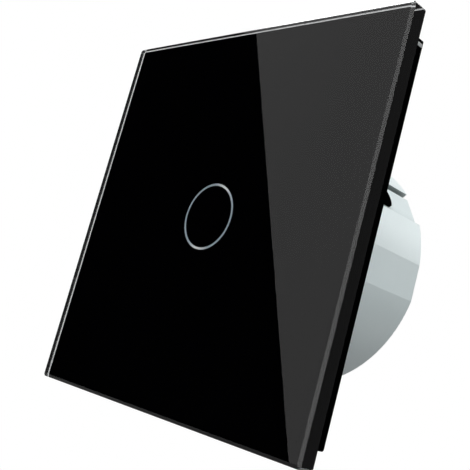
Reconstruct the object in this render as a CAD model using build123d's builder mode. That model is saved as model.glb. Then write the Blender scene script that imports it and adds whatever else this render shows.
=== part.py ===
from build123d import *
import math
import os

# Touch light switch for a round wall box, in millimetres.
# X runs right as seen from the room, Z up, Y into the wall.
# The origin is the middle of the wall plane, which is the back face of the mounting bracket.

os.makedirs("parts", exist_ok=True)

overrun = 1.0          # how far a cut runs past the faces it opens
touch_gap = 0.1        # between pieces that are laid together but not fixed
slide_gap = 0.05       # a screw in its hole, a grip on the bracket

# Glass panel
panel_stand_off = 8.5  # front of the glass to the wall plane
glass_thickness = 3.2
arris_width = 0.65     # ground edge as seen from the front
arris_depth = 0.35
corner_dub = 0.45      # the four upright corners, ground off
print_margin = 0.15    # of the black print, inside the glass's edge
border_margin = 0.03   # of the silver border, inside the glass's edge
print_thickness = 0.1
ring_inner_radius = 6.45
ring_width = 0.45
tape_thickness = 0.4
tape_margin = 0.7

# Frame behind the glass
frame_inset = 3.1      # the frame's side lies this far inside the glass's
frame_corner_radius = 0.5
frame_wall = 1.2
frame_web = 1.2
frame_rim = 5.5        # width of the front web
frame_wall_gap = 0.05  # the frame's rear edge stops this short of the wall
bracket_room = 0.3     # all round, between the frame and the bracket
grip_width = 8.0
grip_place_share = 0.3    # of the frame's side, from its middle
pry_width = 12.0
pry_height = 1.6

# Mounting bracket
bracket_thickness = 1.0
bracket_corner_radius = 3.0
bracket_hole_gap = 0.45    # round the drum
bracket_edge = 5.4         # from the box screws' circle to the bracket's side
box_screw_count = 4
box_screw_hole_radius = 2.0
box_screw_land = 1.1       # metal between a box screw's hole and the drum's
module_screw_edge = 5.0    # from the module's side
module_screw_radius = 1.1

# Flange of the housing and cover on it
module_lap = 0.6           # how far the flange laps over the bracket's hole
module_corner_radius = 6.0
screw_head_notch_radius = 3.8
flange_thickness = 1.2
cover_gap = 0.2        # front of the cover to the print
cover_wall = 1.2
cover_skirt = 1.4
screw_post_radius = 3.2
screw_head_radius = 2.1
screw_head_height = 1.3
screw_head_room = 0.2
cross_length = 2.2
cross_width = 0.5
cross_depth = 0.7

# Drum of the housing: half outline, right side, as shares of its radius
drum_depth = 29.0
drum_wall = 1.6
drum_radius = 26.45
belly_angle = 42.0
crown_share = 0.9565
shoulder_shares = (0.7032, 0.6616)
recess_top_shares = (0.7202, 0.6163)
recess_foot_shares = (0.8469, 0.431)
cheek_share = 0.9849
cheek_top_share = 0.414
side_flat_share = 0.9807
side_flat_bottom_share = -0.1966
vent_width = 1.3
vent_depth = 1.9
vent_start = 4.0

# Latch arms of the cover in the drum's recesses
latch_thickness = 0.6
latch_side_room = 0.4
latch_width = 4.0
latch_offset = 0.7     # from the middle of the recess towards its foot
latch_end = 20.2
latch_end_bow = 0.6
latch_window_width = 2.6
latch_window_length = 3.0
latch_window_place = 10.0
catch_height = 0.65
catch_taper = 12.0
catch_gap = 0.2

# Sensor board with light guide and touch spring
board_thickness = 1.0
sensor_board_depth = 0.4
sensor_board_gap = 0.35     # from its corners to the drum
sensor_board_corner_radius = 6.0
sensor_screw_edge = 3.5
board_screw_radius = 0.85
board_screw_length = 3.4
board_screw_head_radius = 1.7
board_screw_head_height = 1.0
board_boss_radius = 2.4
guide_inner_radius = 6.0
guide_wall = 2.2
guide_collar_width = 1.4
guide_collar_thickness = 0.8
led_length = 1.6
led_width = 0.8
led_height = 0.65
led_count = 2
spring_radius = 4.4
spring_wire_radius = 0.3
spring_turns = 3.25
spring_bend_height = 0.9
spring_print_gap = 0.1
chip_length = 5.0
chip_width = 4.0
chip_height = 1.5
chip_taper = 6.0
chip_edge = 4.4            # from the board's edge, above and below
chip_part_length = 1.6
chip_part_width = 0.8
chip_part_height = 0.5
chip_part_pitch = 3.0
chip_part_columns = 4
chip_part_rows = 2

# Pin header between the boards
header_pitch = 2.54
header_columns = 5
header_rows = 2
header_body_height = 2.5
header_pin_side = 0.64
header_edge = 5.5

# Power board and the posts that carry it
power_board_depth = 9.0
power_board_thickness = 1.6
power_board_gap = 0.53      # round the board
post_pilot_depth = 8.0
top_rib_width = 1.6
top_rib_height = 3.0

# Places on the power board, as shares of its radius
board_post_shares = (0.842, -0.421)
top_rib_shares = (0.3947, 0.886)
relay_place_share = 0.4036
electrolytic_place_shares = (0.68, 0.1974)
film_place_shares = (-0.649, 0.2193)
transformer_place_shares = (-0.5615, -0.2456)
rectifier_place_shares = (-0.0877, -0.1754)
fuse_place_shares = (0.3773, -0.158)
varistor_place_shares = (0.579, -0.3246)

# Relay
relay_width = 19.4
relay_height = 15.8
relay_depth = 15.4
relay_wall = 0.8
relay_corner_radius = 0.8
relay_base_thickness = 2.0
coil_flange_rise = 0.6     # over the winding
coil_flange_thickness = 0.7
coil_yoke_gap = 0.4
coil_contact_gap = 1.4
coil_side_gap = 1.5
core_share = 0.3214        # of the coil flange's radius
pole_share = 0.5536
pole_thickness = 0.6
yoke_side_gap = 2.1
yoke_thickness = 1.0
armature_thickness = 1.0
armature_gap = 0.5     # open gap between the armature and the pole
armature_tail = 0.6    # how far the armature stands past the yoke
armature_end_gap = 0.7
hinge_gap = 0.1
contact_end_gap = 0.3
contact_rear_gap = 1.0
contact_leaf_thickness = 0.3
contact_leaf_width = 4.0
contact_leaf_overhang = 5.0
contact_radius = 1.1
contact_rivet_height = 0.6
contact_gap = 0.8
contact_strip_thickness = 0.5

# Other parts on the power board
electrolytic_radius = 4.0
electrolytic_length = 12.0
electrolytic_bevel = 0.5
film_width = 6.0
film_length = 12.0
film_height = 10.0
film_corner_radius = 0.5
transformer_width = 8.0
transformer_length = 6.8
transformer_height = 8.5
transformer_leg = 1.2
transformer_middle_leg = 1.8
transformer_core_length = 4.0
transformer_coil_room = 0.2
rectifier_length = 8.0
rectifier_width = 6.4
rectifier_height = 3.2
rectifier_bevel = 0.6
fuse_radius = 1.8
fuse_length = 9.0
fuse_cap_length = 2.0
fuse_cap_rise = 0.2
varistor_radius = 3.5
varistor_thickness = 3.2
varistor_edge_radius = 0.8

# Rising cage terminals
terminal_spacing = 10.4
terminal_depth = 20.5  # screw axis behind the wall plane
wire_hole_radius = 1.9
bar_width = 3.6
bar_thickness = 0.9
bar_room = 1.7         # under the bar, inside the cage
cage_width = 5.8
cage_length = 5.0
cage_wall = 0.9
cage_floor = 1.5
cage_travel = 2.2
cage_room = 0.25
terminal_screw_radius = 1.4
terminal_head_radius = 2.2
terminal_head_height = 1.0
driver_slot_width = 0.6
driver_slot_depth = 0.5
block_floor = 0.8
block_side_wall = 1.2
block_roof = 1.0
driver_hole_radius = 2.4
driver_collar_wall = 0.8
head_room = 0.1
head_rise = 1.35     # screw head's underside above the inside of the drum's lowest point


def across(depth):
    """Plane across the switch at a depth behind the wall plane: local x is X, local y is Z."""
    return Plane.XZ.offset(-depth)


def to_file(part, name):
    """Name the finished piece and write it."""
    part.label = name
    export_step(part, f"parts/{name}.step")


# Depths that several pieces share
glass_front = -panel_stand_off
glass_back = glass_front + glass_thickness
print_back = glass_back + print_thickness
tape_back = print_back + tape_thickness
frame_back = -frame_wall_gap
bracket_front = -bracket_thickness
flange_front = bracket_front - flange_thickness
cover_front = print_back + cover_gap
cover_back = flange_front
drum_floor = drum_depth - drum_wall
ring_outer_radius = ring_inner_radius + ring_width
guide_outer_radius = guide_inner_radius + guide_wall

# Sides that several pieces share, from the drum outwards
bracket_hole_radius = drum_radius + bracket_hole_gap
module_side = 2 * (bracket_hole_radius + module_lap)
module_screw_place = module_side / 2 - module_screw_edge
box_screw_circle = 2 * (bracket_hole_radius + box_screw_land + box_screw_hole_radius)
bracket_side = box_screw_circle + 2 * bracket_edge
frame_inner_side = bracket_side + 2 * bracket_room
frame_side = frame_inner_side + 2 * frame_wall
frame_window = frame_side - 2 * frame_rim
panel_side = frame_side + 2 * frame_inset

# Glass panel: clear plate with a ground arris round the front and dubbed corners
with BuildPart() as glass_panel:
    with BuildSketch(across(glass_front)):
        Rectangle(panel_side, panel_side)
        chamfer(vertices(), corner_dub)
    extrude(amount=-glass_thickness)
    front_face = glass_panel.faces().sort_by(Axis.Y)[0]
    chamfer(front_face.edges(), length=arris_width, length2=arris_depth, reference=front_face)
to_file(glass_panel.part, "glass_panel")

# Field of the black print, with its corners dubbed like the glass's
print_side = panel_side - 2 * print_margin
with BuildSketch() as print_field:
    Rectangle(print_side, print_side)
    chamfer(vertices(), corner_dub)

# Black print on the back of the glass: the field round the ring and the disc inside it
with BuildPart() as black_print:
    with BuildSketch(across(glass_back)):
        add(print_field.sketch)
        Circle(ring_outer_radius, mode=Mode.SUBTRACT)
        Circle(ring_inner_radius)
    extrude(amount=-print_thickness)
to_file(black_print.part, "black_print")

# Silver print: the ring in the opening of the black layer and a fine border round it
border_side = panel_side - 2 * border_margin
with BuildPart() as ring_print:
    with BuildSketch(across(glass_back)):
        Circle(ring_outer_radius)
        Circle(ring_inner_radius, mode=Mode.SUBTRACT)
    extrude(amount=-print_thickness)
    with BuildSketch(across(glass_back)):
        Rectangle(border_side, border_side)
        chamfer(vertices(), corner_dub)
        add(print_field.sketch, mode=Mode.SUBTRACT)
    extrude(amount=-print_thickness)
to_file(ring_print.part, "ring_print")

# Frame behind the glass: a square rim with a front web, grips inside and a pry notch below
grip_thickness = bracket_room - slide_gap
grip_place = grip_place_share * frame_side
with BuildPart() as panel_frame:
    with BuildSketch(across(tape_back)):
        RectangleRounded(frame_side, frame_side, frame_corner_radius)
        Rectangle(frame_window, frame_window, mode=Mode.SUBTRACT)
    extrude(amount=-frame_web)
    with BuildSketch(across(tape_back)):
        RectangleRounded(frame_side, frame_side, frame_corner_radius)
        Rectangle(frame_inner_side, frame_inner_side, mode=Mode.SUBTRACT)
        grip_middle = (frame_inner_side - grip_thickness) / 2
        for side in (-1, 1):
            with GridLocations(0, 2 * grip_place, 1, 2):
                with Locations((side * grip_middle, 0)):
                    Rectangle(grip_thickness, grip_width)
            with GridLocations(2 * grip_place, 0, 2, 1):
                with Locations((0, side * grip_middle)):
                    Rectangle(grip_width, grip_thickness)
    extrude(amount=-(frame_back - tape_back))
    with BuildSketch(Plane.XY.offset(-frame_side / 2 - overrun)):
        with Locations((0, frame_back - pry_height / 2)):
            Rectangle(pry_width, pry_height)
    extrude(amount=frame_wall + 2 * overrun, mode=Mode.SUBTRACT)
to_file(panel_frame.part, "panel_frame")

# Foam tape between the print and the web of the frame
with BuildPart() as adhesive_tape:
    with BuildSketch(across(print_back)):
        RectangleRounded(frame_side - 2 * tape_margin, frame_side - 2 * tape_margin, frame_corner_radius)
        Rectangle(frame_window + 2 * tape_margin, frame_window + 2 * tape_margin, mode=Mode.SUBTRACT)
    extrude(amount=-tape_thickness)
to_file(adhesive_tape.part, "adhesive_tape")

# Mounting bracket: steel plate with the drum's hole, box screw holes and module screw holes
with BuildPart() as mounting_bracket:
    with BuildSketch(across(bracket_front)):
        RectangleRounded(bracket_side, bracket_side, bracket_corner_radius)
        Circle(bracket_hole_radius, mode=Mode.SUBTRACT)
        with PolarLocations(box_screw_circle / 2, box_screw_count):
            Circle(box_screw_hole_radius, mode=Mode.SUBTRACT)
        with GridLocations(2 * module_screw_place, 2 * module_screw_place, 2, 2):
            Circle(module_screw_radius + slide_gap, mode=Mode.SUBTRACT)
    extrude(amount=-bracket_thickness)
to_file(mounting_bracket.part, "mounting_bracket")

# Corners of the drum's outline, right side
crown_height = crown_share * drum_radius
shoulder_x, shoulder_z = [share * drum_radius for share in shoulder_shares]
recess_top_x, recess_top_z = [share * drum_radius for share in recess_top_shares]
recess_foot_x, recess_foot_z = [share * drum_radius for share in recess_foot_shares]
cheek_radius = cheek_share * drum_radius
cheek_top_z = cheek_top_share * drum_radius
side_flat_x = side_flat_share * drum_radius
side_flat_bottom_z = side_flat_bottom_share * drum_radius

# The latch recess: a plane that lies on its floor, local x down the recess, local y into the wall
recess_along = Vector(recess_foot_x - recess_top_x, 0, recess_foot_z - recess_top_z).normalized()
recess_outward = Vector(-recess_along.Z, 0, recess_along.X)
recess_middle = Vector((recess_foot_x + recess_top_x) / 2, 0, (recess_foot_z + recess_top_z) / 2)
recess_floor = Plane(
    origin=recess_middle + latch_offset * recess_along,
    x_dir=recess_along,
    z_dir=recess_outward,
)

# Outline shared by the flange and the cover: a rounded square, notched for the box screws' heads
with BuildSketch() as module_outline:
    RectangleRounded(module_side, module_side, module_corner_radius)
    with PolarLocations(box_screw_circle / 2, box_screw_count):
        Circle(screw_head_notch_radius, mode=Mode.SUBTRACT)

# Outline of the drum: crown, vent shoulder, latch recess, cheek, side flat and round belly
cheek_top_x = math.sqrt(cheek_radius**2 - cheek_top_z**2)
side_flat_top_z = math.sqrt(cheek_radius**2 - side_flat_x**2)
belly_x = drum_radius * math.cos(math.radians(belly_angle))
belly_z = -drum_radius * math.sin(math.radians(belly_angle))
cheek_middle_z = (cheek_top_z + side_flat_top_z) / 2
cheek_middle_x = math.sqrt(cheek_radius**2 - cheek_middle_z**2)
with BuildSketch() as drum_outline:
    with BuildLine():
        ThreePointArc((-shoulder_x, shoulder_z), (0, crown_height), (shoulder_x, shoulder_z))
        Polyline(
            (shoulder_x, shoulder_z),
            (recess_top_x, recess_top_z),
            (recess_foot_x, recess_foot_z),
            (cheek_top_x, cheek_top_z),
        )
        ThreePointArc(
            (cheek_top_x, cheek_top_z), (cheek_middle_x, cheek_middle_z), (side_flat_x, side_flat_top_z)
        )
        Line((side_flat_x, side_flat_top_z), (side_flat_x, side_flat_bottom_z))
        ThreePointArc((side_flat_x, side_flat_bottom_z), (belly_x, belly_z), (0, -drum_radius))
        ThreePointArc((0, -drum_radius), (-belly_x, belly_z), (-side_flat_x, side_flat_bottom_z))
        Line((-side_flat_x, side_flat_bottom_z), (-side_flat_x, side_flat_top_z))
        ThreePointArc(
            (-side_flat_x, side_flat_top_z), (-cheek_middle_x, cheek_middle_z), (-cheek_top_x, cheek_top_z)
        )
        Polyline(
            (-cheek_top_x, cheek_top_z),
            (-recess_foot_x, recess_foot_z),
            (-recess_top_x, recess_top_z),
            (-shoulder_x, shoulder_z),
        )
    make_face()

# Terminals: two screws side by side, wires from the rear, heights from the drum's lowest point
terminal_xs = (-terminal_spacing / 2, terminal_spacing / 2)
head_bottom = -(drum_radius - drum_wall) + head_rise
head_top = head_bottom + terminal_head_height
block_bottom = head_top + touch_gap
cage_bottom = block_bottom + block_floor + touch_gap + cage_travel
bar_bottom = cage_bottom + cage_floor + bar_room
bar_top = bar_bottom + bar_thickness
wire_z = bar_top + wire_hole_radius
cage_roof_under = wire_z + wire_hole_radius
cage_roof_top = cage_roof_under + cage_wall
screw_tip = bar_bottom - slide_gap
block_back = drum_floor - touch_gap
block_front = power_board_depth + power_board_thickness
cage_front = terminal_depth - cage_length / 2
cage_back = terminal_depth + cage_length / 2
chamber_front = cage_front - cage_room
chamber_back = cage_back + cage_room
chamber_top = cage_roof_top + cage_room
block_top = chamber_top + block_roof
block_width = terminal_spacing + cage_width + 2 * cage_room + 2 * block_side_wall

# Boards: the sensor board's corners and the power board's edge keep clear of the drum
upper_cavity_radius = recess_middle.dot(recess_outward) - drum_wall
corner_middle = (upper_cavity_radius - sensor_board_gap - sensor_board_corner_radius) / math.sqrt(2)
sensor_board_side = 2 * (corner_middle + sensor_board_corner_radius)
sensor_screw_place = sensor_board_side / 2 - sensor_screw_edge
sensor_screw_spots = (
    (-sensor_screw_place, sensor_screw_place),
    (sensor_screw_place, -sensor_screw_place),
)
power_board_radius = upper_cavity_radius - power_board_gap
board_post_x, board_post_z = [share * power_board_radius for share in board_post_shares]
board_post_spots = ((-board_post_x, board_post_z), (board_post_x, board_post_z))
top_rib_x, top_rib_z = [share * power_board_radius for share in top_rib_shares]

# Rear housing: drum, flange and rear wall, with vents, catches, posts and wire holes
shoulder_radius = math.hypot(shoulder_x, shoulder_z)
vent_angle = math.degrees(math.atan2(shoulder_z + recess_top_z, shoulder_x + recess_top_x))
vent_middle = shoulder_radius + (overrun - vent_depth) / 2
vent_middle_x = vent_middle * math.cos(math.radians(vent_angle))
vent_middle_z = vent_middle * math.sin(math.radians(vent_angle))
latch_passage = latch_thickness + 2 * touch_gap
catch_length = latch_window_length - 2 * catch_gap
catch_width = latch_window_width - 2 * catch_gap
post_front = power_board_depth + power_board_thickness
with BuildPart() as rear_housing:
    with BuildSketch(across(flange_front)):
        add(drum_outline.sketch)
    extrude(amount=-(drum_depth - flange_front))
    with BuildSketch(across(flange_front)):
        add(module_outline.sketch)
        with GridLocations(2 * module_screw_place, 2 * module_screw_place, 2, 2):
            Circle(module_screw_radius + slide_gap, mode=Mode.SUBTRACT)
    extrude(amount=-flange_thickness)
    with BuildSketch(across(flange_front)):
        Circle(drum_radius - drum_wall)
        with Locations((0, side_flat_bottom_z + drum_radius)):
            Rectangle(2 * drum_radius, 2 * drum_radius, mode=Mode.SUBTRACT)
        Circle(upper_cavity_radius)
    extrude(amount=-(drum_floor - flange_front), mode=Mode.SUBTRACT)
    with BuildSketch(across(vent_start)):
        for side in (-1, 1):
            with Locations(Location((side * vent_middle_x, vent_middle_z), side * vent_angle)):
                Rectangle(vent_depth + overrun, vent_width)
    extrude(amount=-(drum_depth - vent_start + overrun), mode=Mode.SUBTRACT)
    with BuildSketch(recess_floor):
        with Locations((0, (flange_front + bracket_front) / 2)):
            Rectangle(latch_width + 2 * latch_side_room, flange_thickness + 2 * overrun)
    latch_hole = extrude(amount=latch_passage, mode=Mode.SUBTRACT)
    mirror(latch_hole, about=Plane.YZ, mode=Mode.SUBTRACT)
    with BuildSketch(recess_floor):
        with Locations((0, latch_window_place)):
            Rectangle(catch_width, catch_length)
    latch_catch = extrude(amount=catch_height, taper=catch_taper)
    mirror(latch_catch, about=Plane.YZ)
    with BuildSketch(across(post_front)):
        with Locations(*board_post_spots):
            Circle(board_boss_radius)
        with Locations((-top_rib_x, top_rib_z), (top_rib_x, top_rib_z)):
            Rectangle(top_rib_width, top_rib_height)
    extrude(amount=-(drum_floor - post_front))
    with BuildSketch(across(post_front)):
        with Locations(*board_post_spots):
            Circle(board_screw_radius + slide_gap)
    extrude(amount=-post_pilot_depth, mode=Mode.SUBTRACT)
    with BuildSketch(across(drum_floor)):
        with Locations(*[(x, wire_z) for x in terminal_xs]):
            Circle(wire_hole_radius)
    extrude(amount=-drum_wall, mode=Mode.SUBTRACT)
    with BuildSketch(Plane.XY.offset(head_bottom - head_room)):
        with Locations(*[(x, terminal_depth) for x in terminal_xs]):
            Circle(driver_hole_radius + driver_collar_wall)
    extrude(amount=-(head_rise - head_room))
    with BuildSketch(Plane.XY.offset(head_bottom - head_room)):
        with Locations(*[(x, terminal_depth) for x in terminal_xs]):
            Circle(driver_hole_radius)
    extrude(amount=-(drum_wall + head_rise + overrun), mode=Mode.SUBTRACT)
to_file(rear_housing.part, "rear_housing")

# Cover: black cap on the flange with screw posts, board bosses and two latch arms
latch_inner_gap = touch_gap
with BuildPart() as module_cover:
    with BuildSketch(across(cover_front)):
        add(module_outline.sketch)
    extrude(amount=-(cover_back - cover_front))
    with BuildSketch(across(cover_front + cover_wall)):
        add(module_outline.sketch)
        offset(amount=-cover_skirt, kind=Kind.INTERSECTION, mode=Mode.REPLACE)
        with GridLocations(2 * module_screw_place, 2 * module_screw_place, 2, 2):
            Circle(screw_post_radius, mode=Mode.SUBTRACT)
    extrude(amount=-(cover_back - cover_front - cover_wall), mode=Mode.SUBTRACT)
    with BuildSketch(across(cover_front + cover_wall)):
        with Locations(*sensor_screw_spots):
            Circle(board_boss_radius)
    extrude(amount=-(sensor_board_depth - cover_front - cover_wall))
    with BuildSketch(across(sensor_board_depth)):
        with Locations(*sensor_screw_spots):
            Circle(board_screw_radius + slide_gap)
    extrude(amount=board_screw_length, mode=Mode.SUBTRACT)
    with BuildSketch(across(cover_front)):
        Circle(guide_outer_radius + touch_gap)
    extrude(amount=-cover_wall, mode=Mode.SUBTRACT)
    with BuildSketch(across(cover_front)):
        with GridLocations(2 * module_screw_place, 2 * module_screw_place, 2, 2):
            Circle(screw_head_radius + screw_head_room)
    extrude(amount=-(screw_head_height + screw_head_room), mode=Mode.SUBTRACT)
    with BuildSketch(across(cover_front)):
        with GridLocations(2 * module_screw_place, 2 * module_screw_place, 2, 2):
            Circle(module_screw_radius + slide_gap)
    extrude(amount=-(cover_back - cover_front), mode=Mode.SUBTRACT)
    with BuildSketch(recess_floor.offset(latch_inner_gap)):
        with BuildLine():
            arm_start = cover_front + cover_wall
            arm_shoulder = latch_end - latch_end_bow
            Polyline(
                (-latch_width / 2, arm_shoulder),
                (-latch_width / 2, arm_start),
                (latch_width / 2, arm_start),
                (latch_width / 2, arm_shoulder),
            )
            ThreePointArc((latch_width / 2, arm_shoulder), (0, latch_end), (-latch_width / 2, arm_shoulder))
        make_face()
        with Locations((0, latch_window_place)):
            Rectangle(latch_window_width, latch_window_length, mode=Mode.SUBTRACT)
    latch_arm = extrude(amount=latch_thickness)
    mirror(latch_arm, about=Plane.YZ)
to_file(module_cover.part, "module_cover")

# Screws that hold cover and flange on the bracket
with BuildPart() as module_screws:
    with BuildSketch(across(cover_front + screw_head_room)):
        with GridLocations(2 * module_screw_place, 2 * module_screw_place, 2, 2):
            Circle(screw_head_radius)
    extrude(amount=-screw_head_height)
    with BuildSketch(across(cover_front + screw_head_room)):
        with GridLocations(2 * module_screw_place, 2 * module_screw_place, 2, 2):
            Circle(module_screw_radius)
    extrude(amount=-(frame_back - cover_front - screw_head_room))
    with BuildSketch(across(cover_front + screw_head_room)):
        with GridLocations(2 * module_screw_place, 2 * module_screw_place, 2, 2):
            for turn in (0, 90):
                Rectangle(cross_length, cross_width, rotation=turn)
    extrude(amount=-cross_depth, mode=Mode.SUBTRACT)
to_file(module_screws.part, "module_screws")

# Light guide: clear tube behind the ring, with a collar behind the cover
guide_back = sensor_board_depth - led_height - touch_gap
with BuildPart() as light_guide:
    with BuildSketch(across(cover_front)):
        Circle(guide_outer_radius)
        Circle(guide_inner_radius, mode=Mode.SUBTRACT)
    extrude(amount=-(guide_back - cover_front))
    with BuildSketch(across(cover_front + cover_wall)):
        Circle(guide_outer_radius + guide_collar_width)
        Circle(guide_inner_radius, mode=Mode.SUBTRACT)
    extrude(amount=-guide_collar_thickness)
to_file(light_guide.part, "light_guide")


def biarc(start, start_tangent, end, end_tangent):
    """Two arcs that join two points along their tangents, without a corner."""
    chord = end - start
    tangent_sum = start_tangent + end_tangent
    square = 2 * (1 - start_tangent.dot(end_tangent))
    along = chord.dot(tangent_sum)
    reach = (math.sqrt(along**2 + square * chord.dot(chord)) - along) / square
    before = start + start_tangent * reach
    after = end - end_tangent * reach
    joint = (before + after) / 2
    TangentArc(start, joint, tangent=start_tangent)
    TangentArc(joint, end, tangent=after - before)


# Touch spring: a leg on the board, a bend and a helix up to the back of the print
spring_wire = 2 * spring_wire_radius
leg_end = sensor_board_depth - spring_wire
helix_back = leg_end - spring_bend_height
helix_front = print_back + spring_print_gap + spring_wire_radius
helix_rise = helix_back - helix_front
spring_pitch = helix_rise / spring_turns
bend_turn = spring_bend_height / spring_radius


def helix_point(turn):
    """Point of the helix after so many radians from its back end."""
    height = helix_back - spring_pitch * turn / math.tau
    angle = turn + bend_turn
    return Vector(spring_radius * math.cos(angle), height, spring_radius * math.sin(angle))


def helix_tangent(turn):
    """Direction of the wire there."""
    angle = turn + bend_turn
    climb = -spring_pitch / math.tau
    direction = Vector(-spring_radius * math.sin(angle), climb, spring_radius * math.cos(angle))
    return direction.normalized()


quarter_turns = round(4 * spring_turns)
with BuildPart() as touch_spring:
    with BuildLine() as spring_path:
        leg_foot = Vector(spring_radius, sensor_board_depth, 0)
        leg_tip = Vector(spring_radius, leg_end, 0)
        Line(leg_foot, leg_tip)
        biarc(leg_tip, Vector(0, -1, 0), helix_point(0), helix_tangent(0))
        for quarter in range(quarter_turns):
            turn = math.tau * spring_turns * quarter / quarter_turns
            next_turn = math.tau * spring_turns * (quarter + 1) / quarter_turns
            biarc(helix_point(turn), helix_tangent(turn), helix_point(next_turn), helix_tangent(next_turn))
        spring_end = helix_point(math.tau * spring_turns)
        Line(spring_end, spring_end + spring_wire * helix_tangent(math.tau * spring_turns))
    with BuildSketch(Plane(leg_foot, x_dir=(1, 0, 0), z_dir=(0, -1, 0))):
        Circle(spring_wire_radius)
    sweep(path=spring_path.wires()[0])
to_file(touch_spring.part, "touch_spring")

spring_samples = 400
spring_centre_line = spring_path.wires()[0]
spring_points = [spring_centre_line @ (step / spring_samples) for step in range(spring_samples + 1)]
half_turn_steps = round(spring_samples * math.pi * spring_radius / spring_centre_line.length)
spring_gap = min(
    (spring_points[first] - spring_points[second]).length
    for first in range(spring_samples)
    for second in range(first + half_turn_steps, spring_samples + 1)
)
print(f"touch spring: least gap between turns {spring_gap - spring_wire:.2f} mm")

# Sensor board with its chip, lights and small parts on the front face
sensor_board_back = sensor_board_depth + board_thickness
chip_row = sensor_board_side / 2 - chip_edge
with BuildPart() as sensor_board:
    with BuildSketch(across(sensor_board_depth)):
        RectangleRounded(sensor_board_side, sensor_board_side, sensor_board_corner_radius)
        with Locations(*sensor_screw_spots):
            Circle(board_screw_radius + slide_gap, mode=Mode.SUBTRACT)
    extrude(amount=-board_thickness)
to_file(sensor_board.part, "sensor_board")

with BuildPart() as touch_chip:
    with BuildSketch(across(sensor_board_depth)):
        with Locations((0, -chip_row)):
            Rectangle(chip_length, chip_width)
    extrude(amount=chip_height, taper=chip_taper)
to_file(touch_chip.part, "touch_chip")

guide_middle_radius = guide_inner_radius + guide_wall / 2
with BuildPart() as indicator_leds:
    with BuildSketch(across(sensor_board_depth)):
        with PolarLocations(guide_middle_radius, led_count):
            Rectangle(led_width, led_length)
    extrude(amount=led_height)
to_file(indicator_leds.part, "indicator_leds")

with BuildPart() as sensor_chip_parts:
    with BuildSketch(across(sensor_board_depth)):
        with Locations((0, chip_row)):
            with GridLocations(chip_part_pitch, chip_part_pitch, chip_part_columns, chip_part_rows):
                Rectangle(chip_part_width, chip_part_length)
    extrude(amount=chip_part_height)
to_file(sensor_chip_parts.part, "sensor_chip_parts")

with BuildPart() as sensor_board_screws:
    with BuildSketch(across(sensor_board_back)):
        with Locations(*sensor_screw_spots):
            Circle(board_screw_head_radius)
    extrude(amount=-board_screw_head_height)
    with BuildSketch(across(sensor_board_back)):
        with Locations(*sensor_screw_spots):
            Circle(board_screw_radius)
    extrude(amount=board_screw_length)
to_file(sensor_board_screws.part, "sensor_board_screws")

# Pin header between the two boards
header_place_z = header_edge - sensor_board_side / 2
with BuildSketch() as header_pin_outline:
    with Locations((0, header_place_z)):
        with GridLocations(header_pitch, header_pitch, header_columns, header_rows):
            Rectangle(header_pin_side, header_pin_side)
with BuildPart() as header_pins:
    with BuildSketch(across(sensor_board_back)):
        add(header_pin_outline.sketch)
    extrude(amount=-(power_board_depth - sensor_board_back))
to_file(header_pins.part, "header_pins")

with BuildPart() as pin_header_body:
    with BuildSketch(across(sensor_board_back)):
        with Locations((0, header_place_z)):
            Rectangle(header_pitch * header_columns, header_pitch * header_rows)
        add(header_pin_outline.sketch, mode=Mode.SUBTRACT)
    extrude(amount=-header_body_height)
to_file(pin_header_body.part, "pin_header_body")

# Power board on the housing's posts, screwed from its front
board_back = power_board_depth + power_board_thickness
with BuildPart() as power_board:
    with BuildSketch(across(power_board_depth)):
        Circle(power_board_radius)
        with Locations(*board_post_spots):
            Circle(board_screw_radius + slide_gap, mode=Mode.SUBTRACT)
    extrude(amount=-power_board_thickness)
to_file(power_board.part, "power_board")

with BuildPart() as power_board_screws:
    with BuildSketch(across(power_board_depth)):
        with Locations(*board_post_spots):
            Circle(board_screw_head_radius)
    extrude(amount=board_screw_head_height)
    with BuildSketch(across(power_board_depth)):
        with Locations(*board_post_spots):
            Circle(board_screw_radius)
    extrude(amount=-(power_board_thickness + board_screw_length))
to_file(power_board_screws.part, "power_board_screws")

# Relay: cover over a base, coil with core and yoke, tilting armature with its contact leaf
relay_place_z = relay_place_share * power_board_radius
relay_inner_width = relay_width - 2 * relay_wall
relay_inner_height = relay_height - 2 * relay_wall
relay_base_back = board_back + relay_base_thickness
with BuildPart() as relay_cover:
    with BuildSketch(across(board_back)):
        with Locations((0, relay_place_z)):
            RectangleRounded(relay_width, relay_height, relay_corner_radius)
    extrude(amount=-relay_depth)
    with BuildSketch(across(board_back)):
        with Locations((0, relay_place_z)):
            Rectangle(relay_inner_width, relay_inner_height)
    extrude(amount=-(relay_depth - relay_wall), mode=Mode.SUBTRACT)
to_file(relay_cover.part, "relay_cover")

with BuildPart() as relay_base:
    with BuildSketch(across(board_back)):
        with Locations((0, relay_place_z)):
            Rectangle(relay_inner_width, relay_inner_height)
    extrude(amount=-relay_base_thickness)
to_file(relay_base.part, "relay_base")

# Inside the relay, from its right end to the left one: armature, yoke, coil, contacts
armature_right = relay_inner_width / 2 - armature_end_gap
yoke_x = armature_right - armature_tail - yoke_thickness
leaf_left = contact_end_gap - relay_inner_width / 2
contact_x = leaf_left + contact_radius
armature_left = leaf_left + contact_leaf_overhang
coil_right = yoke_x - coil_yoke_gap
coil_left = contact_x + contact_radius + coil_contact_gap
coil_x = (coil_right + coil_left) / 2
coil_flange_radius = min((coil_right - coil_left) / 2, relay_inner_height / 2 - coil_side_gap)
coil_radius = coil_flange_radius - coil_flange_rise
core_radius = core_share * coil_flange_radius
pole_radius = pole_share * coil_flange_radius
yoke_width = relay_inner_height - 2 * yoke_side_gap

# And from its back to its base: contact leaf, armature, pole, coil
leaf_front = board_back + relay_depth - relay_wall - contact_rear_gap - contact_leaf_thickness
armature_front = leaf_front - armature_thickness
pole_back = armature_front - armature_gap
coil_back = pole_back - pole_thickness
coil_front = relay_base_back + yoke_thickness
coil_length = coil_back - coil_front

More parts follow.
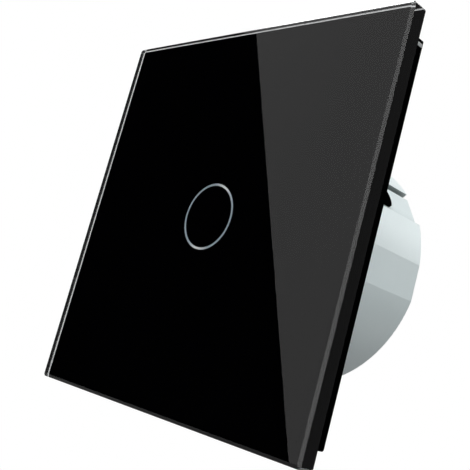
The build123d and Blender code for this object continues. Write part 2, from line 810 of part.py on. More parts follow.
# Yoke: a foot under the coil and an upright beside it
foot_left = coil_x - pole_radius
with BuildPart() as relay_yoke:
    with BuildSketch(Plane.XY.offset(relay_place_z - yoke_width / 2)):
        with BuildLine():
            Polyline(
                (foot_left, relay_base_back),
                (yoke_x + yoke_thickness, relay_base_back),
                (yoke_x + yoke_thickness, pole_back),
                (yoke_x, pole_back),
                (yoke_x, coil_front),
                (foot_left, coil_front),
                close=True,
            )
        make_face()
    extrude(amount=yoke_width)
to_file(relay_yoke.part, "relay_yoke")

with BuildPart() as relay_core:
    with BuildSketch(across(coil_front)):
        with Locations((coil_x, relay_place_z)):
            Circle(core_radius)
    extrude(amount=-coil_length)
    with BuildSketch(across(coil_back)):
        with Locations((coil_x, relay_place_z)):
            Circle(pole_radius)
    extrude(amount=-pole_thickness)
to_file(relay_core.part, "relay_core")

bobbin_barrel_radius = core_radius + coil_flange_thickness
with BuildPart() as relay_bobbin:
    with BuildSketch(across(coil_front)):
        with Locations((coil_x, relay_place_z)):
            Circle(coil_flange_radius)
    extrude(amount=-coil_flange_thickness)
    with BuildSketch(across(coil_back - coil_flange_thickness)):
        with Locations((coil_x, relay_place_z)):
            Circle(coil_flange_radius)
    extrude(amount=-coil_flange_thickness)
    with BuildSketch(across(coil_front)):
        with Locations((coil_x, relay_place_z)):
            Circle(bobbin_barrel_radius)
    extrude(amount=-coil_length)
    with BuildSketch(across(coil_front)):
        with Locations((coil_x, relay_place_z)):
            Circle(core_radius)
    extrude(amount=-coil_length, mode=Mode.SUBTRACT)
to_file(relay_bobbin.part, "relay_bobbin")

with BuildPart() as relay_winding:
    with BuildSketch(across(coil_front + coil_flange_thickness)):
        with Locations((coil_x, relay_place_z)):
            Circle(coil_radius)
            Circle(bobbin_barrel_radius, mode=Mode.SUBTRACT)
    extrude(amount=-(coil_length - 2 * coil_flange_thickness))
to_file(relay_winding.part, "relay_winding")

# Armature: it tilts about the yoke's rear edge, its far end moves towards the coil
with BuildPart() as relay_armature:
    with BuildSketch(Plane.XY.offset(relay_place_z - yoke_width / 2)):
        with BuildLine():
            Polyline(
                (armature_left, armature_front),
                (yoke_x - hinge_gap, armature_front),
                (yoke_x - hinge_gap, pole_back + hinge_gap),
                (armature_right, pole_back + hinge_gap),
                (armature_right, armature_front + armature_thickness),
                (armature_left, armature_front + armature_thickness),
                close=True,
            )
        make_face()
    extrude(amount=yoke_width)
to_file(relay_armature.part, "relay_armature")

leaf_length = armature_right - leaf_left
with BuildPart() as relay_contact_spring:
    with BuildSketch(across(leaf_front)):
        with Locations((leaf_left + leaf_length / 2, relay_place_z)):
            Rectangle(leaf_length, contact_leaf_width)
    extrude(amount=-contact_leaf_thickness)
    with BuildSketch(across(leaf_front)):
        with Locations((contact_x, relay_place_z)):
            Circle(contact_radius)
    extrude(amount=contact_rivet_height)
to_file(relay_contact_spring.part, "relay_contact_spring")

fixed_contact_back = leaf_front - contact_rivet_height - contact_gap
with BuildPart() as relay_fixed_contact:
    with BuildSketch(Plane.XY.offset(relay_place_z - contact_leaf_width / 2)):
        with BuildLine():
            strip_left = contact_x - contact_radius
            strip_back = fixed_contact_back - contact_rivet_height
            Polyline(
                (strip_left, relay_base_back),
                (strip_left + contact_strip_thickness, relay_base_back),
                (strip_left + contact_strip_thickness, strip_back - contact_strip_thickness),
                (contact_x + contact_radius, strip_back - contact_strip_thickness),
                (contact_x + contact_radius, strip_back),
                (strip_left, strip_back),
                close=True,
            )
        make_face()
    extrude(amount=contact_leaf_width)
    with BuildSketch(across(strip_back)):
        with Locations((contact_x, relay_place_z)):
            Circle(contact_radius)
    extrude(amount=-contact_rivet_height)
to_file(relay_fixed_contact.part, "relay_fixed_contact")

# Other parts on the back of the power board
electrolytic_x, electrolytic_z = [share * power_board_radius for share in electrolytic_place_shares]
with BuildPart() as smoothing_capacitor:
    with BuildSketch(across(board_back)):
        with Locations((electrolytic_x, electrolytic_z)):
            Circle(electrolytic_radius)
    extrude(amount=-electrolytic_length)
    chamfer(smoothing_capacitor.faces().sort_by(Axis.Y)[-1].edges(), electrolytic_bevel)
to_file(smoothing_capacitor.part, "smoothing_capacitor")

film_x, film_z = [share * power_board_radius for share in film_place_shares]
with BuildPart() as film_capacitor:
    with BuildSketch(across(board_back)):
        with Locations((film_x, film_z)):
            RectangleRounded(film_width, film_length, film_corner_radius)
    extrude(amount=-film_height)
to_file(film_capacitor.part, "film_capacitor")

# Transformer: a closed ferrite frame with a wound middle leg
transformer_x, transformer_z = [share * power_board_radius for share in transformer_place_shares]
with BuildSketch() as transformer_windows:
    with Locations((transformer_x, transformer_z)):
        window_width = (transformer_width - 2 * transformer_leg - transformer_middle_leg) / 2
        with GridLocations(window_width + transformer_middle_leg, 0, 2, 1):
            Rectangle(window_width, transformer_length)
window_depth = transformer_height - 2 * transformer_leg
window_front = board_back + transformer_leg
with BuildPart() as transformer_core:
    with BuildSketch(across(board_back)):
        with Locations((transformer_x, transformer_z)):
            Rectangle(transformer_width, transformer_core_length)
    extrude(amount=-transformer_height)
    with BuildSketch(across(window_front)):
        add(transformer_windows.sketch)
    extrude(amount=-window_depth, mode=Mode.SUBTRACT)
to_file(transformer_core.part, "transformer_core")

coil_outer_width = transformer_middle_leg + 2 * (window_width - transformer_coil_room)
with BuildPart() as transformer_winding:
    with BuildSketch(across(window_front + transformer_coil_room)):
        with Locations((transformer_x, transformer_z)):
            RectangleRounded(coil_outer_width, transformer_length, film_corner_radius)
            Rectangle(transformer_middle_leg, transformer_core_length, mode=Mode.SUBTRACT)
    extrude(amount=-(window_depth - 2 * transformer_coil_room))
to_file(transformer_winding.part, "transformer_winding")

rectifier_x, rectifier_z = [share * power_board_radius for share in rectifier_place_shares]
with BuildPart() as bridge_rectifier:
    with BuildSketch(across(board_back)):
        with Locations((rectifier_x, rectifier_z)):
            Rectangle(rectifier_length, rectifier_width)
    extrude(amount=-rectifier_height)
    chamfer(bridge_rectifier.faces().sort_by(Axis.Y)[-1].edges(), rectifier_bevel)
to_file(bridge_rectifier.part, "bridge_rectifier")

# Fuse: a glass barrel with metal caps, lying on the board
fuse_x, fuse_z = [share * power_board_radius for share in fuse_place_shares]
fuse_cap_radius = fuse_radius + fuse_cap_rise
fuse_depth = board_back + fuse_cap_radius
with BuildPart() as fuse:
    with BuildSketch(Plane.YZ.offset(fuse_x - fuse_length / 2)):
        with Locations((fuse_depth, fuse_z)):
            Circle(fuse_radius)
    extrude(amount=fuse_length)
    for cap_start in (fuse_x - fuse_length / 2, fuse_x + fuse_length / 2 - fuse_cap_length):
        with BuildSketch(Plane.YZ.offset(cap_start)):
            with Locations((fuse_depth, fuse_z)):
                Circle(fuse_cap_radius)
        extrude(amount=fuse_cap_length)
to_file(fuse.part, "fuse")

# Varistor: an upright disc
varistor_x, varistor_z = [share * power_board_radius for share in varistor_place_shares]
with BuildPart() as varistor:
    with BuildSketch(Plane.XY.offset(varistor_z - varistor_thickness / 2)):
        with Locations((varistor_x, board_back + varistor_radius)):
            Circle(varistor_radius)
    extrude(amount=varistor_thickness)
    fillet(varistor.edges().filter_by(GeomType.CIRCLE), varistor_edge_radius)
to_file(varistor.part, "varistor")

# Terminal block: moulded body with a chamber for each cage, wire holes and screw holes
with BuildPart() as terminal_block:
    with BuildSketch(Plane.XY.offset(block_bottom)):
        with Locations((0, (block_front + block_back) / 2)):
            Rectangle(block_width, block_back - block_front)
    extrude(amount=block_top - block_bottom)
    chamber_length = chamber_back - chamber_front
    chamber_middle = (chamber_back + chamber_front) / 2
    with BuildSketch(Plane.XY.offset(block_bottom + block_floor)):
        with Locations(*[(x, chamber_middle) for x in terminal_xs]):
            Rectangle(cage_width + 2 * cage_room, chamber_length)
    extrude(amount=chamber_top - block_bottom - block_floor, mode=Mode.SUBTRACT)
    with BuildSketch(across(chamber_back)):
        with Locations(*[(x, wire_z) for x in terminal_xs]):
            Circle(wire_hole_radius)
    extrude(amount=-(block_back - chamber_back), mode=Mode.SUBTRACT)
    with BuildSketch(across(block_front)):
        with Locations(*[(x, bar_top - bar_thickness / 2) for x in terminal_xs]):
            Rectangle(bar_width + 2 * slide_gap, bar_thickness + 2 * slide_gap)
    extrude(amount=-(chamber_front - block_front), mode=Mode.SUBTRACT)
    with BuildSketch(Plane.XY.offset(block_bottom)):
        with Locations(*[(x, terminal_depth) for x in terminal_xs]):
            Circle(terminal_screw_radius + touch_gap)
    extrude(amount=block_floor, mode=Mode.SUBTRACT)
to_file(terminal_block.part, "terminal_block")

# Brass bars from the board through the cages
with BuildPart() as terminal_bars:
    with BuildSketch(Plane.XY.offset(bar_bottom)):
        with Locations(*[(x, (board_back + cage_back) / 2) for x in terminal_xs]):
            Rectangle(bar_width, cage_back - board_back)
    extrude(amount=bar_thickness)
to_file(terminal_bars.part, "terminal_bars")

# Each terminal's cage and screw; the cage comes down the screw and presses the wire on the bar
for number, terminal_x in enumerate(terminal_xs, start=1):
    with BuildPart() as terminal_cage:
        with BuildSketch(across(cage_front)):
            with Locations((terminal_x, (cage_bottom + cage_roof_top) / 2)):
                Rectangle(cage_width, cage_roof_top - cage_bottom)
        extrude(amount=-cage_length)
        window_bottom = cage_bottom + cage_floor
        with BuildSketch(across(cage_front)):
            with Locations((terminal_x, (window_bottom + cage_roof_under) / 2)):
                Rectangle(cage_width - 2 * cage_wall, cage_roof_under - window_bottom)
        extrude(amount=-cage_length, mode=Mode.SUBTRACT)
        with BuildSketch(Plane.XY.offset(cage_bottom)):
            with Locations((terminal_x, terminal_depth)):
                Circle(terminal_screw_radius + slide_gap)
        extrude(amount=cage_floor, mode=Mode.SUBTRACT)
    to_file(terminal_cage.part, f"terminal_cage_{number}")

    with BuildPart() as terminal_screw:
        with BuildSketch(Plane.XY.offset(head_bottom)):
            with Locations((terminal_x, terminal_depth)):
                Circle(terminal_head_radius)
        extrude(amount=terminal_head_height)
        with BuildSketch(Plane.XY.offset(head_bottom)):
            with Locations((terminal_x, terminal_depth)):
                Circle(terminal_screw_radius)
        extrude(amount=screw_tip - head_bottom)
        with BuildSketch(Plane.XY.offset(head_bottom)):
            with Locations((terminal_x, terminal_depth)):
                Rectangle(2 * terminal_head_radius, driver_slot_width)
        extrude(amount=driver_slot_depth, mode=Mode.SUBTRACT)
    to_file(terminal_screw.part, f"terminal_screw_{number}")
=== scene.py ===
import math

import bpy
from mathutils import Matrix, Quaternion, Vector


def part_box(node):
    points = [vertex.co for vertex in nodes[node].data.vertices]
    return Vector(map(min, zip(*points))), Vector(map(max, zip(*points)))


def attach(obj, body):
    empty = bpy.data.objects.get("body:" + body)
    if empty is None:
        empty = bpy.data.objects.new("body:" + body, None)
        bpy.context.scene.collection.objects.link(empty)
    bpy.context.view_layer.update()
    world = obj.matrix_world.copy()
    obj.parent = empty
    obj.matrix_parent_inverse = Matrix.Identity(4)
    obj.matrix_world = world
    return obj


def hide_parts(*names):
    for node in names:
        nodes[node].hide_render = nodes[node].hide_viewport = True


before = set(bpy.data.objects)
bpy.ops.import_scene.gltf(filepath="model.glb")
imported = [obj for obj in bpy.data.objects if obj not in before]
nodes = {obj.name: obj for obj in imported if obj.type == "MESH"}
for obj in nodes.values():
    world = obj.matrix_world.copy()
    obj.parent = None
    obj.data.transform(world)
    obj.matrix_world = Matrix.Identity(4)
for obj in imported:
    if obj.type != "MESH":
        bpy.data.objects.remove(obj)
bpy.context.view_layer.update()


# Camera: stands to the right of the switch and a little below its middle, close by, and is turned
# about its own line of sight, so that the upright panel leans over to the right in the picture.
mm = 0.001
camera_azimuth = math.radians(48.787)
camera_elevation = math.radians(-9.062)
camera_turn = math.radians(15.251)
camera_place = Vector((126.056, -109.195, -28.067)) * mm
camera_lens = 63.43  # mm
picture_width = 36.0  # mm, on the camera's own back
nearest_seen = 10 * mm
towards_camera = Vector((
    math.sin(camera_azimuth) * math.cos(camera_elevation),
    -math.cos(camera_azimuth) * math.cos(camera_elevation),
    math.sin(camera_elevation),
))
camera = bpy.data.objects.new("camera", bpy.data.cameras.new("camera"))
camera.data.lens = camera_lens
camera.data.sensor_width = picture_width
camera.data.clip_start = nearest_seen
camera.location = camera_place
camera.rotation_mode = "QUATERNION"
camera.rotation_quaternion = towards_camera.to_track_quat("Z", "Y") @ Quaternion((0, 0, 1), camera_turn)
bpy.context.scene.collection.objects.link(camera)
bpy.context.scene.camera = camera
bpy.context.scene.view_settings.view_transform = "Standard"


# Studio: white surroundings for the eye, for gloss and through glass. Matt surfaces get a soft cool
# light from all round, a little stronger from overhead, and the dim floor keeps the drum darker
# underneath, as in the photograph.
def add_node(tree, kind, values=None, links=None, **settings):
    """Add a shader node with its settings, input values and links."""
    node = tree.nodes.new(kind)
    for name, value in settings.items():
        setattr(node, name, value)
    for socket, value in (values or {}).items():
        node.inputs[socket].default_value = value
    for socket, source in (links or {}).items():
        tree.links.new(source, node.inputs[socket])
    return node


def linear(colour):
    """An sRGB hex colour as linear RGBA."""
    parts = [int(colour[place:place + 2], 16) / 255 for place in (1, 3, 5)]
    return [part / 12.92 if part <= 0.04045 else ((part + 0.055) / 1.055) ** 2.4 for part in parts] + [1.0]


def seen_directly(tree):
    """1 for rays from the camera, off gloss and through glass, 0 for light on matt surfaces."""
    path = add_node(tree, "ShaderNodeLightPath")
    gloss = add_node(
        tree, "ShaderNodeMath", links={0: path.outputs["Is Camera Ray"], 1: path.outputs["Is Glossy Ray"]},
        operation="MAXIMUM",
    )
    return add_node(
        tree, "ShaderNodeMath", links={0: gloss.outputs[0], 1: path.outputs["Is Transmission Ray"]},
        operation="MAXIMUM",
    ).outputs[0]


sky_colour = "#f2f6fa"
light_from_above = 1.08
light_from_below = 1.00
world = bpy.data.worlds.new("white_studio")
bpy.context.scene.world = world
world.use_nodes = True
tree = world.node_tree
tree.nodes.clear()
heading = add_node(tree, "ShaderNodeTexCoord")
height = add_node(tree, "ShaderNodeSeparateXYZ", links={0: heading.outputs["Generated"]})
fall_off = add_node(
    tree, "ShaderNodeMapRange",
    {"From Min": -1.0, "From Max": 1.0, "To Min": light_from_below, "To Max": light_from_above},
    {"Value": height.outputs["Z"]},
)
sky = add_node(
    tree, "ShaderNodeBackground", {"Color": linear(sky_colour)}, {"Strength": fall_off.outputs[0]}
)
white = add_node(tree, "ShaderNodeBackground", {"Color": (1, 1, 1, 1), "Strength": 1.0})
surround = add_node(
    tree, "ShaderNodeMixShader", links={0: seen_directly(tree), 1: sky.outputs[0], 2: white.outputs[0]}
)
add_node(tree, "ShaderNodeOutputWorld", links={"Surface": surround.outputs[0]})


def soft_box(name, place, aim, size, power):
    """A square lamp at a place, turned to what it lights and unseen in gloss, in metres and watts."""
    lamp = bpy.data.objects.new(name, bpy.data.lights.new(name, "AREA"))
    lamp.data.size = size
    lamp.data.energy = power
    lamp.location = place
    lamp.rotation_mode = "QUATERNION"
    lamp.rotation_quaternion = (Vector(place) - Vector(aim)).to_track_quat("Z", "Y")
    lamp.visible_glossy = False
    bpy.context.scene.collection.objects.link(lamp)


# Four weak soft boxes give the matt surfaces some shape. The rear one is the strongest: it lights the
# back of the drum and of the bracket.
drum_right = (0.02, 0.015, 0)
glass_middle = (0, 0, 0)
drum_middle = (0, 0.02, 0)
soft_box("overhead_box", (0.20, 0.05, 0.62), drum_right, size=0.35, power=0.1)
soft_box("right_box", (0.62, 0.12, 0.12), drum_right, size=0.30, power=0.4)
soft_box("front_box", (-0.15, -0.60, 0.30), glass_middle, size=0.35, power=0.4)
soft_box("rear_box", (-0.60, 0.70, 0.05), drum_middle, size=0.35, power=2.0)


# Floor: a pale matt board under the switch, wide enough to run out of every view. It keeps the
# switch's shadow, turns to plain white further out, and throws little light back up.
floor_height = -0.16
floor_radius = 4.0
shadow_reach = 0.22
white_from = 0.45
board_pale = "#fbfbfb"
board_dim = "#303030"
bpy.ops.object.select_all(action="DESELECT")
bpy.ops.mesh.primitive_circle_add(
    vertices=96, radius=floor_radius, fill_type="NGON", location=(0, 0, floor_height)
)
floor = bpy.context.object
floor.name = "floor"
bpy.ops.object.transform_apply(location=True, rotation=False, scale=False)
# Pale board to the eye, but a dim one to the light that it throws back up.
board = bpy.data.materials.new("pale_matt_board")
board.use_nodes = True
tree = board.node_tree
tree.nodes.clear()
place = add_node(tree, "ShaderNodeTexCoord")
distance = add_node(tree, "ShaderNodeVectorMath", links={0: place.outputs["Object"]}, operation="LENGTH")
far_out = add_node(
    tree, "ShaderNodeMapRange", {"From Min": shadow_reach, "From Max": white_from},
    {"Value": distance.outputs["Value"]}, interpolation_type="SMOOTHSTEP",
)
eye = seen_directly(tree)
lit_board = add_node(tree, "ShaderNodeBsdfDiffuse", {"Color": linear(board_pale)})
dim_board = add_node(tree, "ShaderNodeBsdfDiffuse", {"Color": linear(board_dim)})
glow = add_node(tree, "ShaderNodeEmission", {"Color": (1, 1, 1, 1), "Strength": 1.0})
near = add_node(
    tree, "ShaderNodeMixShader", links={0: eye, 1: dim_board.outputs[0], 2: lit_board.outputs[0]}
)
clean = add_node(tree, "ShaderNodeMath", links={0: far_out.outputs[0], 1: eye}, operation="MULTIPLY")
surface = add_node(
    tree, "ShaderNodeMixShader", links={0: clean.outputs[0], 1: near.outputs[0], 2: glow.outputs[0]}
)
add_node(tree, "ShaderNodeOutputMaterial", links={"Surface": surface.outputs[0]})
floor.data.materials.append(board)


# Reflector cards: four-cornered boards that show only in gloss, on the glass, along its edges and on
# the drum. Each glows evenly or fades along X, and none lights a matt surface or throws a shadow.
def reflector(name, corners, left_glow, right_glow, left_end=-1.0, right_end=1.0, through_glass=False):
    """A board whose glow runs along X, from the left glow at its left end to the right one."""
    bpy.ops.object.select_all(action="DESELECT")
    bpy.ops.mesh.primitive_plane_add(size=1.0)
    board = bpy.context.object
    board.name = name
    for vertex, corner in zip((0, 1, 3, 2), corners):
        board.data.vertices[vertex].co = corner
    card = bpy.data.materials.new(name)
    card.use_nodes = True
    tree = card.node_tree
    tree.nodes.clear()
    place = add_node(tree, "ShaderNodeTexCoord")
    across = add_node(tree, "ShaderNodeSeparateXYZ", links={0: place.outputs["Object"]})
    strength = add_node(
        tree, "ShaderNodeMapRange",
        {"From Min": left_end, "From Max": right_end, "To Min": left_glow, "To Max": right_glow},
        {"Value": across.outputs["X"]},
    )
    glow = add_node(tree, "ShaderNodeEmission", {"Color": (1, 1, 1, 1)}, {"Strength": strength.outputs[0]})
    add_node(tree, "ShaderNodeOutputMaterial", links={"Surface": glow.outputs[0]})
    board.data.materials.append(card)
    board.visible_camera = False
    board.visible_diffuse = False
    board.visible_transmission = through_glass
    board.visible_shadow = False


# Up behind on the right, a bright card gives the drum's cheek its sheen.
drum_sheen = 3.8
reflector(
    "drum_card",
    [(0.13, 0.435, 0.095), (0.250, 0.292, 0.095), (0.250, 0.292, 0.36), (0.13, 0.435, 0.36)],
    left_glow=drum_sheen, right_glow=drum_sheen,
)
# In front, a dark card and a pale one meet at the line that runs down the glass.
card_plane = -0.30
cards_foot = -0.12
cards_top = 0.32
dark_from = -1.4
pale_to = -0.10
meeting_low = (-0.1962, card_plane, cards_foot)
meeting_high = (-0.4016, card_plane, cards_top)
reflector(
    "dark_card",
    [(dark_from, card_plane, cards_foot), meeting_low, meeting_high, (dark_from, card_plane, cards_top)],
    left_glow=0.0, right_glow=0.0,
)
reflector(
    "pale_card",
    [meeting_low, (pale_to, card_plane, cards_foot), (pale_to, card_plane, cards_top), meeting_high],
    left_glow=0.54, right_glow=0.68, left_end=-0.40, right_end=-0.20,
)
# A bright strip further right lights the right arris.
strip_left = 0.09
strip_right = 0.16
strip_top = 0.26
arris_gleam = 1.9
reflector(
    "bright_strip",
    [
        (strip_left, card_plane, cards_foot), (strip_right, card_plane, cards_foot),
        (strip_right, card_plane, strip_top), (strip_left, card_plane, strip_top),
    ],
    left_glow=arris_gleam, right_glow=arris_gleam,
)
# A small bright card up on the left shows in the ring, through the glass.
ring_gleam = 3.0
reflector(
    "ring_light",
    [(-0.35, -0.25, 0.26), (-0.26, -0.29, 0.26), (-0.26, -0.27, 0.34), (-0.35, -0.23, 0.34)],
    left_glow=ring_gleam, right_glow=ring_gleam, through_glass=True,
)
# One high up fades along the top arris, from nearly black at its left end to light grey.
reflector(
    "top_card", [(-1.3, -0.2, 0.60), (-0.2, -0.2, 0.60), (-0.2, 0.2, 0.60), (-1.3, 0.2, 0.60)],
    left_glow=0.05, right_glow=0.66, left_end=-0.80, right_end=-0.36,
)
# Nearly black on the left, grey below and dark grey on the right keep the white off the glass's edges.
left_shade = 0.045
reflector(
    "left_card", [(-0.60, 0.95, -0.5), (-0.60, -0.10, -0.5), (-0.60, -0.10, 0.6), (-0.60, 0.95, 0.6)],
    left_glow=left_shade, right_glow=left_shade,
)
reflector(
    "lower_card", [(-0.40, -0.20, -0.14), (0.02, -0.20, -0.14), (0.02, 0.0, -0.14), (-0.40, 0.0, -0.14)],
    left_glow=0.32, right_glow=0.25, left_end=-0.40, right_end=0.02,
)
right_shade = 0.125
reflector(
    "side_card",
    [(0.12, 0.46, -0.25), (0.50, 0.02, -0.25), (0.50, 0.02, 0.45), (0.12, 0.46, 0.45)],
    left_glow=right_shade, right_glow=right_shade,
)


def paint(material, *names):
    """Give CAD nodes their finish."""
    for name in names:
        mesh = nodes[name].data
        mesh.materials.clear()
        mesh.materials.append(material)


cloud_size = 8.0  # mm across one patch of faint unevenness
sheen_spread = 0.2  # the share by which the grain varies the roughness


def finish(name, colour, roughness, grain_mm, unevenness=0.04, depth_mm=0.0, metallic=0.0, specular=0.5):
    """A moulded, rolled or dipped surface: a faintly uneven colour and a grain of its real size in mm."""
    material = bpy.data.materials.new(name)
    material.use_nodes = True
    tree = material.node_tree
    shader = tree.nodes["Principled BSDF"]
    shader.inputs["Metallic"].default_value = metallic
    shader.inputs["Specular IOR Level"].default_value = specular
    place = add_node(tree, "ShaderNodeTexCoord").outputs["Object"]
    grain_size = grain_mm if isinstance(grain_mm, tuple) else (grain_mm, grain_mm, grain_mm)
    lie = add_node(
        tree, "ShaderNodeMapping", {"Scale": [1 / (size * mm) for size in grain_size]}, {"Vector": place}
    )
    cloud = add_node(
        tree, "ShaderNodeTexNoise", {"Scale": 1 / (cloud_size * mm), "Detail": 3.0}, {"Vector": place}
    )
    grain = add_node(
        tree, "ShaderNodeTexNoise", {"Scale": 1.0, "Detail": 2.0}, {"Vector": lie.outputs["Vector"]}
    )
    base = linear(colour)[:3]
    darker = [part * (1 - unevenness) for part in base] + [1.0]
    lighter = [min(1.0, part * (1 + unevenness)) for part in base] + [1.0]
    tone = add_node(
        tree, "ShaderNodeMix", {6: darker, 7: lighter}, {0: cloud.outputs["Fac"]}, data_type="RGBA"
    )
    tree.links.new(tone.outputs[2], shader.inputs["Base Color"])
    sheen = add_node(
        tree, "ShaderNodeMapRange",
        {"To Min": roughness * (1 - sheen_spread), "To Max": roughness * (1 + sheen_spread)},
        {"Value": grain.outputs["Fac"]},
    )
    tree.links.new(sheen.outputs[0], shader.inputs["Roughness"])
    if depth_mm:
        relief = add_node(
            tree, "ShaderNodeBump", {"Distance": depth_mm * mm}, {"Height": grain.outputs["Fac"]}
        )
        tree.links.new(relief.outputs["Normal"], shader.inputs["Normal"])
    return material


# Moulded polycarbonate: a cool light grey with a soft sheen, and the fine even grain of an etched mould.
housing_plastic = finish(
    "light_grey_moulded_polycarbonate", "#e4edeb",
    roughness=0.3, grain_mm=0.35, unevenness=0.02, depth_mm=0.003, specular=0.3,
)
# Painted shade: in its narrow slots and corners, where the surface is closed in, the plastic's colour
# turns a duller grey-green.
crevice_width = 2.2 * mm
painted_shade_full = 0.45  # the openness at which the duller tone is full
crevice_painted_shade = "#87918f"
tree = housing_plastic.node_tree
shader = tree.nodes["Principled BSDF"]
clean_tone = shader.inputs["Base Color"].links[0].from_socket
# How open the surface is, read by ambient occlusion, sets how much of the painted shade it gets.
openness = add_node(tree, "ShaderNodeAmbientOcclusion", {"Distance": crevice_width}, samples=8)
open_part = add_node(
    tree, "ShaderNodeMapRange", {"From Min": painted_shade_full, "From Max": 1.0},
    {"Value": openness.outputs["AO"]},
)
drum_tone_with_painted_shade = add_node(
    tree, "ShaderNodeMix", {6: linear(crevice_painted_shade)}, {0: open_part.outputs[0], 7: clean_tone},
    data_type="RGBA",
)
tree.links.new(drum_tone_with_painted_shade.outputs[2], shader.inputs["Base Color"])
paint(housing_plastic, "rear_housing")


# Terminal block: a box of the same grey plastic with a wire hole and a driver hole to each of its two
# ways. It stands on the power board and closes the opening in the drum's foot.
# Glass-filled polyamide: duller than the drum, faintly mottled by its fibres.
block_plastic = finish(
    "light_grey_glass_filled_polyamide", "#d9dedd",
    roughness=0.6, grain_mm=(0.2, 0.6, 0.2), unevenness=0.05, depth_mm=0.006,
)
paint(block_plastic, "terminal_block")


# Terminals: a brass bar, a folded steel cage round it, and a slotted screw to each way. The screw
# draws the cage down towards its own head, and the cage clamps the wire against the bar.
# Zinc plate, passivated clear: bright grey with a bluish cast and shallow tumbling marks.
plated_steel = finish(
    "zinc_plated_steel", "#c3c7cc",
    roughness=0.3, grain_mm=0.5, unevenness=0.08, depth_mm=0.002, metallic=1.0,
)
paint(plated_steel, "terminal_screw_1", "terminal_screw_2")
# Folded cage strip: the same plate over rolled steel, so its grain runs along the strip.
cage_strip = finish(
    "zinc_plated_folded_strip", "#b9bab6",
    roughness=0.36, grain_mm=(0.15, 1.5, 0.15), unevenness=0.10, depth_mm=0.002, metallic=1.0,
)
paint(cage_strip, "terminal_cage_1", "terminal_cage_2")
# Stamped brass: warm yellow, lightly tarnished, with marks along the rolling direction.
stamped_brass = finish(
    "stamped_brass", "#d3ab5f",
    roughness=0.3, grain_mm=(1.8, 0.15, 0.15), unevenness=0.12, depth_mm=0.002, metallic=1.0,
)
paint(stamped_brass, "terminal_bars")


# Circuit boards: a round power board behind and a square sensor board in front, sawn from glass cloth
# and epoxy and coated with green solder resist. Each is screwed to bosses and posts in the drum.
cloth_thread = 0.5 * mm  # drawn a little coarser than the real cloth so that it shows
cloth_depth = 0.004 * mm
board_face = 0.5  # a normal that leans further than this along Y is on a board's face, not on its edge
resist_green = "#1c5a33"
resist_green_light = "#256b3e"
sawn_edge_yellow = "#b9a96c"


def band_scale(pitch):
    """The scale at which a wave texture's bands lie a pitch apart, in metres."""
    return math.pi / (10 * pitch)


# Solder resist: deep green and glossy, with the cloth's weave showing through. Sawn edges are yellowish.
board_green = bpy.data.materials.new("green_solder_resist_on_glass_epoxy")
board_green.use_nodes = True
tree = board_green.node_tree
shader = tree.nodes["Principled BSDF"]
shader.inputs["Roughness"].default_value = 0.28
place = add_node(tree, "ShaderNodeTexCoord").outputs["Object"]
weft = add_node(
    tree, "ShaderNodeTexWave", {"Scale": band_scale(cloth_thread)}, {"Vector": place},
    bands_direction="X",
)
warp = add_node(
    tree, "ShaderNodeTexWave", {"Scale": band_scale(cloth_thread)}, {"Vector": place},
    bands_direction="Z",
)
cloth = add_node(
    tree, "ShaderNodeMath", links={0: weft.outputs["Fac"], 1: warp.outputs["Fac"]}, operation="MULTIPLY"
)
resist = add_node(
    tree, "ShaderNodeMix", {6: linear(resist_green), 7: linear(resist_green_light)},
    {0: cloth.outputs[0]}, data_type="RGBA",
)
face = add_node(
    tree, "ShaderNodeSeparateXYZ", links={0: add_node(tree, "ShaderNodeNewGeometry").outputs["Normal"]}
)
flat = add_node(tree, "ShaderNodeMath", links={0: face.outputs["Y"]}, operation="ABSOLUTE")
on_face = add_node(
    tree, "ShaderNodeMath", {1: board_face}, {0: flat.outputs[0]}, operation="GREATER_THAN"
)
board_tone = add_node(
    tree, "ShaderNodeMix", {6: linear(sawn_edge_yellow)}, {0: on_face.outputs[0], 7: resist.outputs[2]},
    data_type="RGBA",
)
tree.links.new(board_tone.outputs[2], shader.inputs["Base Color"])
cloth_relief = add_node(tree, "ShaderNodeBump", {"Distance": cloth_depth}, {"Height": cloth.outputs[0]})
tree.links.new(cloth_relief.outputs["Normal"], shader.inputs["Normal"])
paint(board_green, "power_board", "sensor_board")


# Board screws and module screws: self-tapping, their heads pressed from steel wire. The four module
# screws, which show in front when the panel is off, have a cross in the head.
# Bright zinc: close to chrome, with fine rings left by the heading tool.
bright_zinc = finish(
    "bright_zinc_plated_screw", "#ced1d4",
    roughness=0.22, grain_mm=0.25, unevenness=0.05, depth_mm=0.002, metallic=1.0,
)
paint(bright_zinc, "power_board_screws", "sensor_board_screws", "module_screws")


# Relay: a blue moulded cap over a base that carries the coil on its bobbin, the iron core and yoke,
# the tilting armature with its contact leaf, and the fixed contact.
# Moulded polyester: saturated blue, glossy, with a faint flow mottle.
blue_moulded_polyester = finish(
    "blue_moulded_polyester", "#1d57a3",
    roughness=0.28, grain_mm=0.8, unevenness=0.08, depth_mm=0.003,
)
paint(blue_moulded_polyester, "relay_cover", "relay_base")
# Natural nylon: milky, slightly yellow, waxy sheen.
natural_nylon = finish(
    "natural_nylon", "#e3decb",
    roughness=0.45, grain_mm=0.6, unevenness=0.05, depth_mm=0.004,
)
paint(natural_nylon, "relay_bobbin")
# Nickel-plated soft iron: warm grey metal, satin from tumbling.
tumbled_nickel = finish(
    "nickel_plated_soft_iron", "#bdb9ae",
    roughness=0.38, grain_mm=0.3, unevenness=0.07, depth_mm=0.003, metallic=1.0,
)
paint(tumbled_nickel, "relay_core", "relay_yoke", "relay_armature")
# Contact bronze: thin rolled strip, reddish gold, bright along the roll.
rolled_contact_bronze = finish(
    "rolled_contact_bronze", "#d69f61",
    roughness=0.26, grain_mm=(0.12, 0.12, 1.4), unevenness=0.08, depth_mm=0.002, metallic=1.0,
)
paint(rolled_contact_bronze, "relay_contact_spring", "relay_fixed_contact")


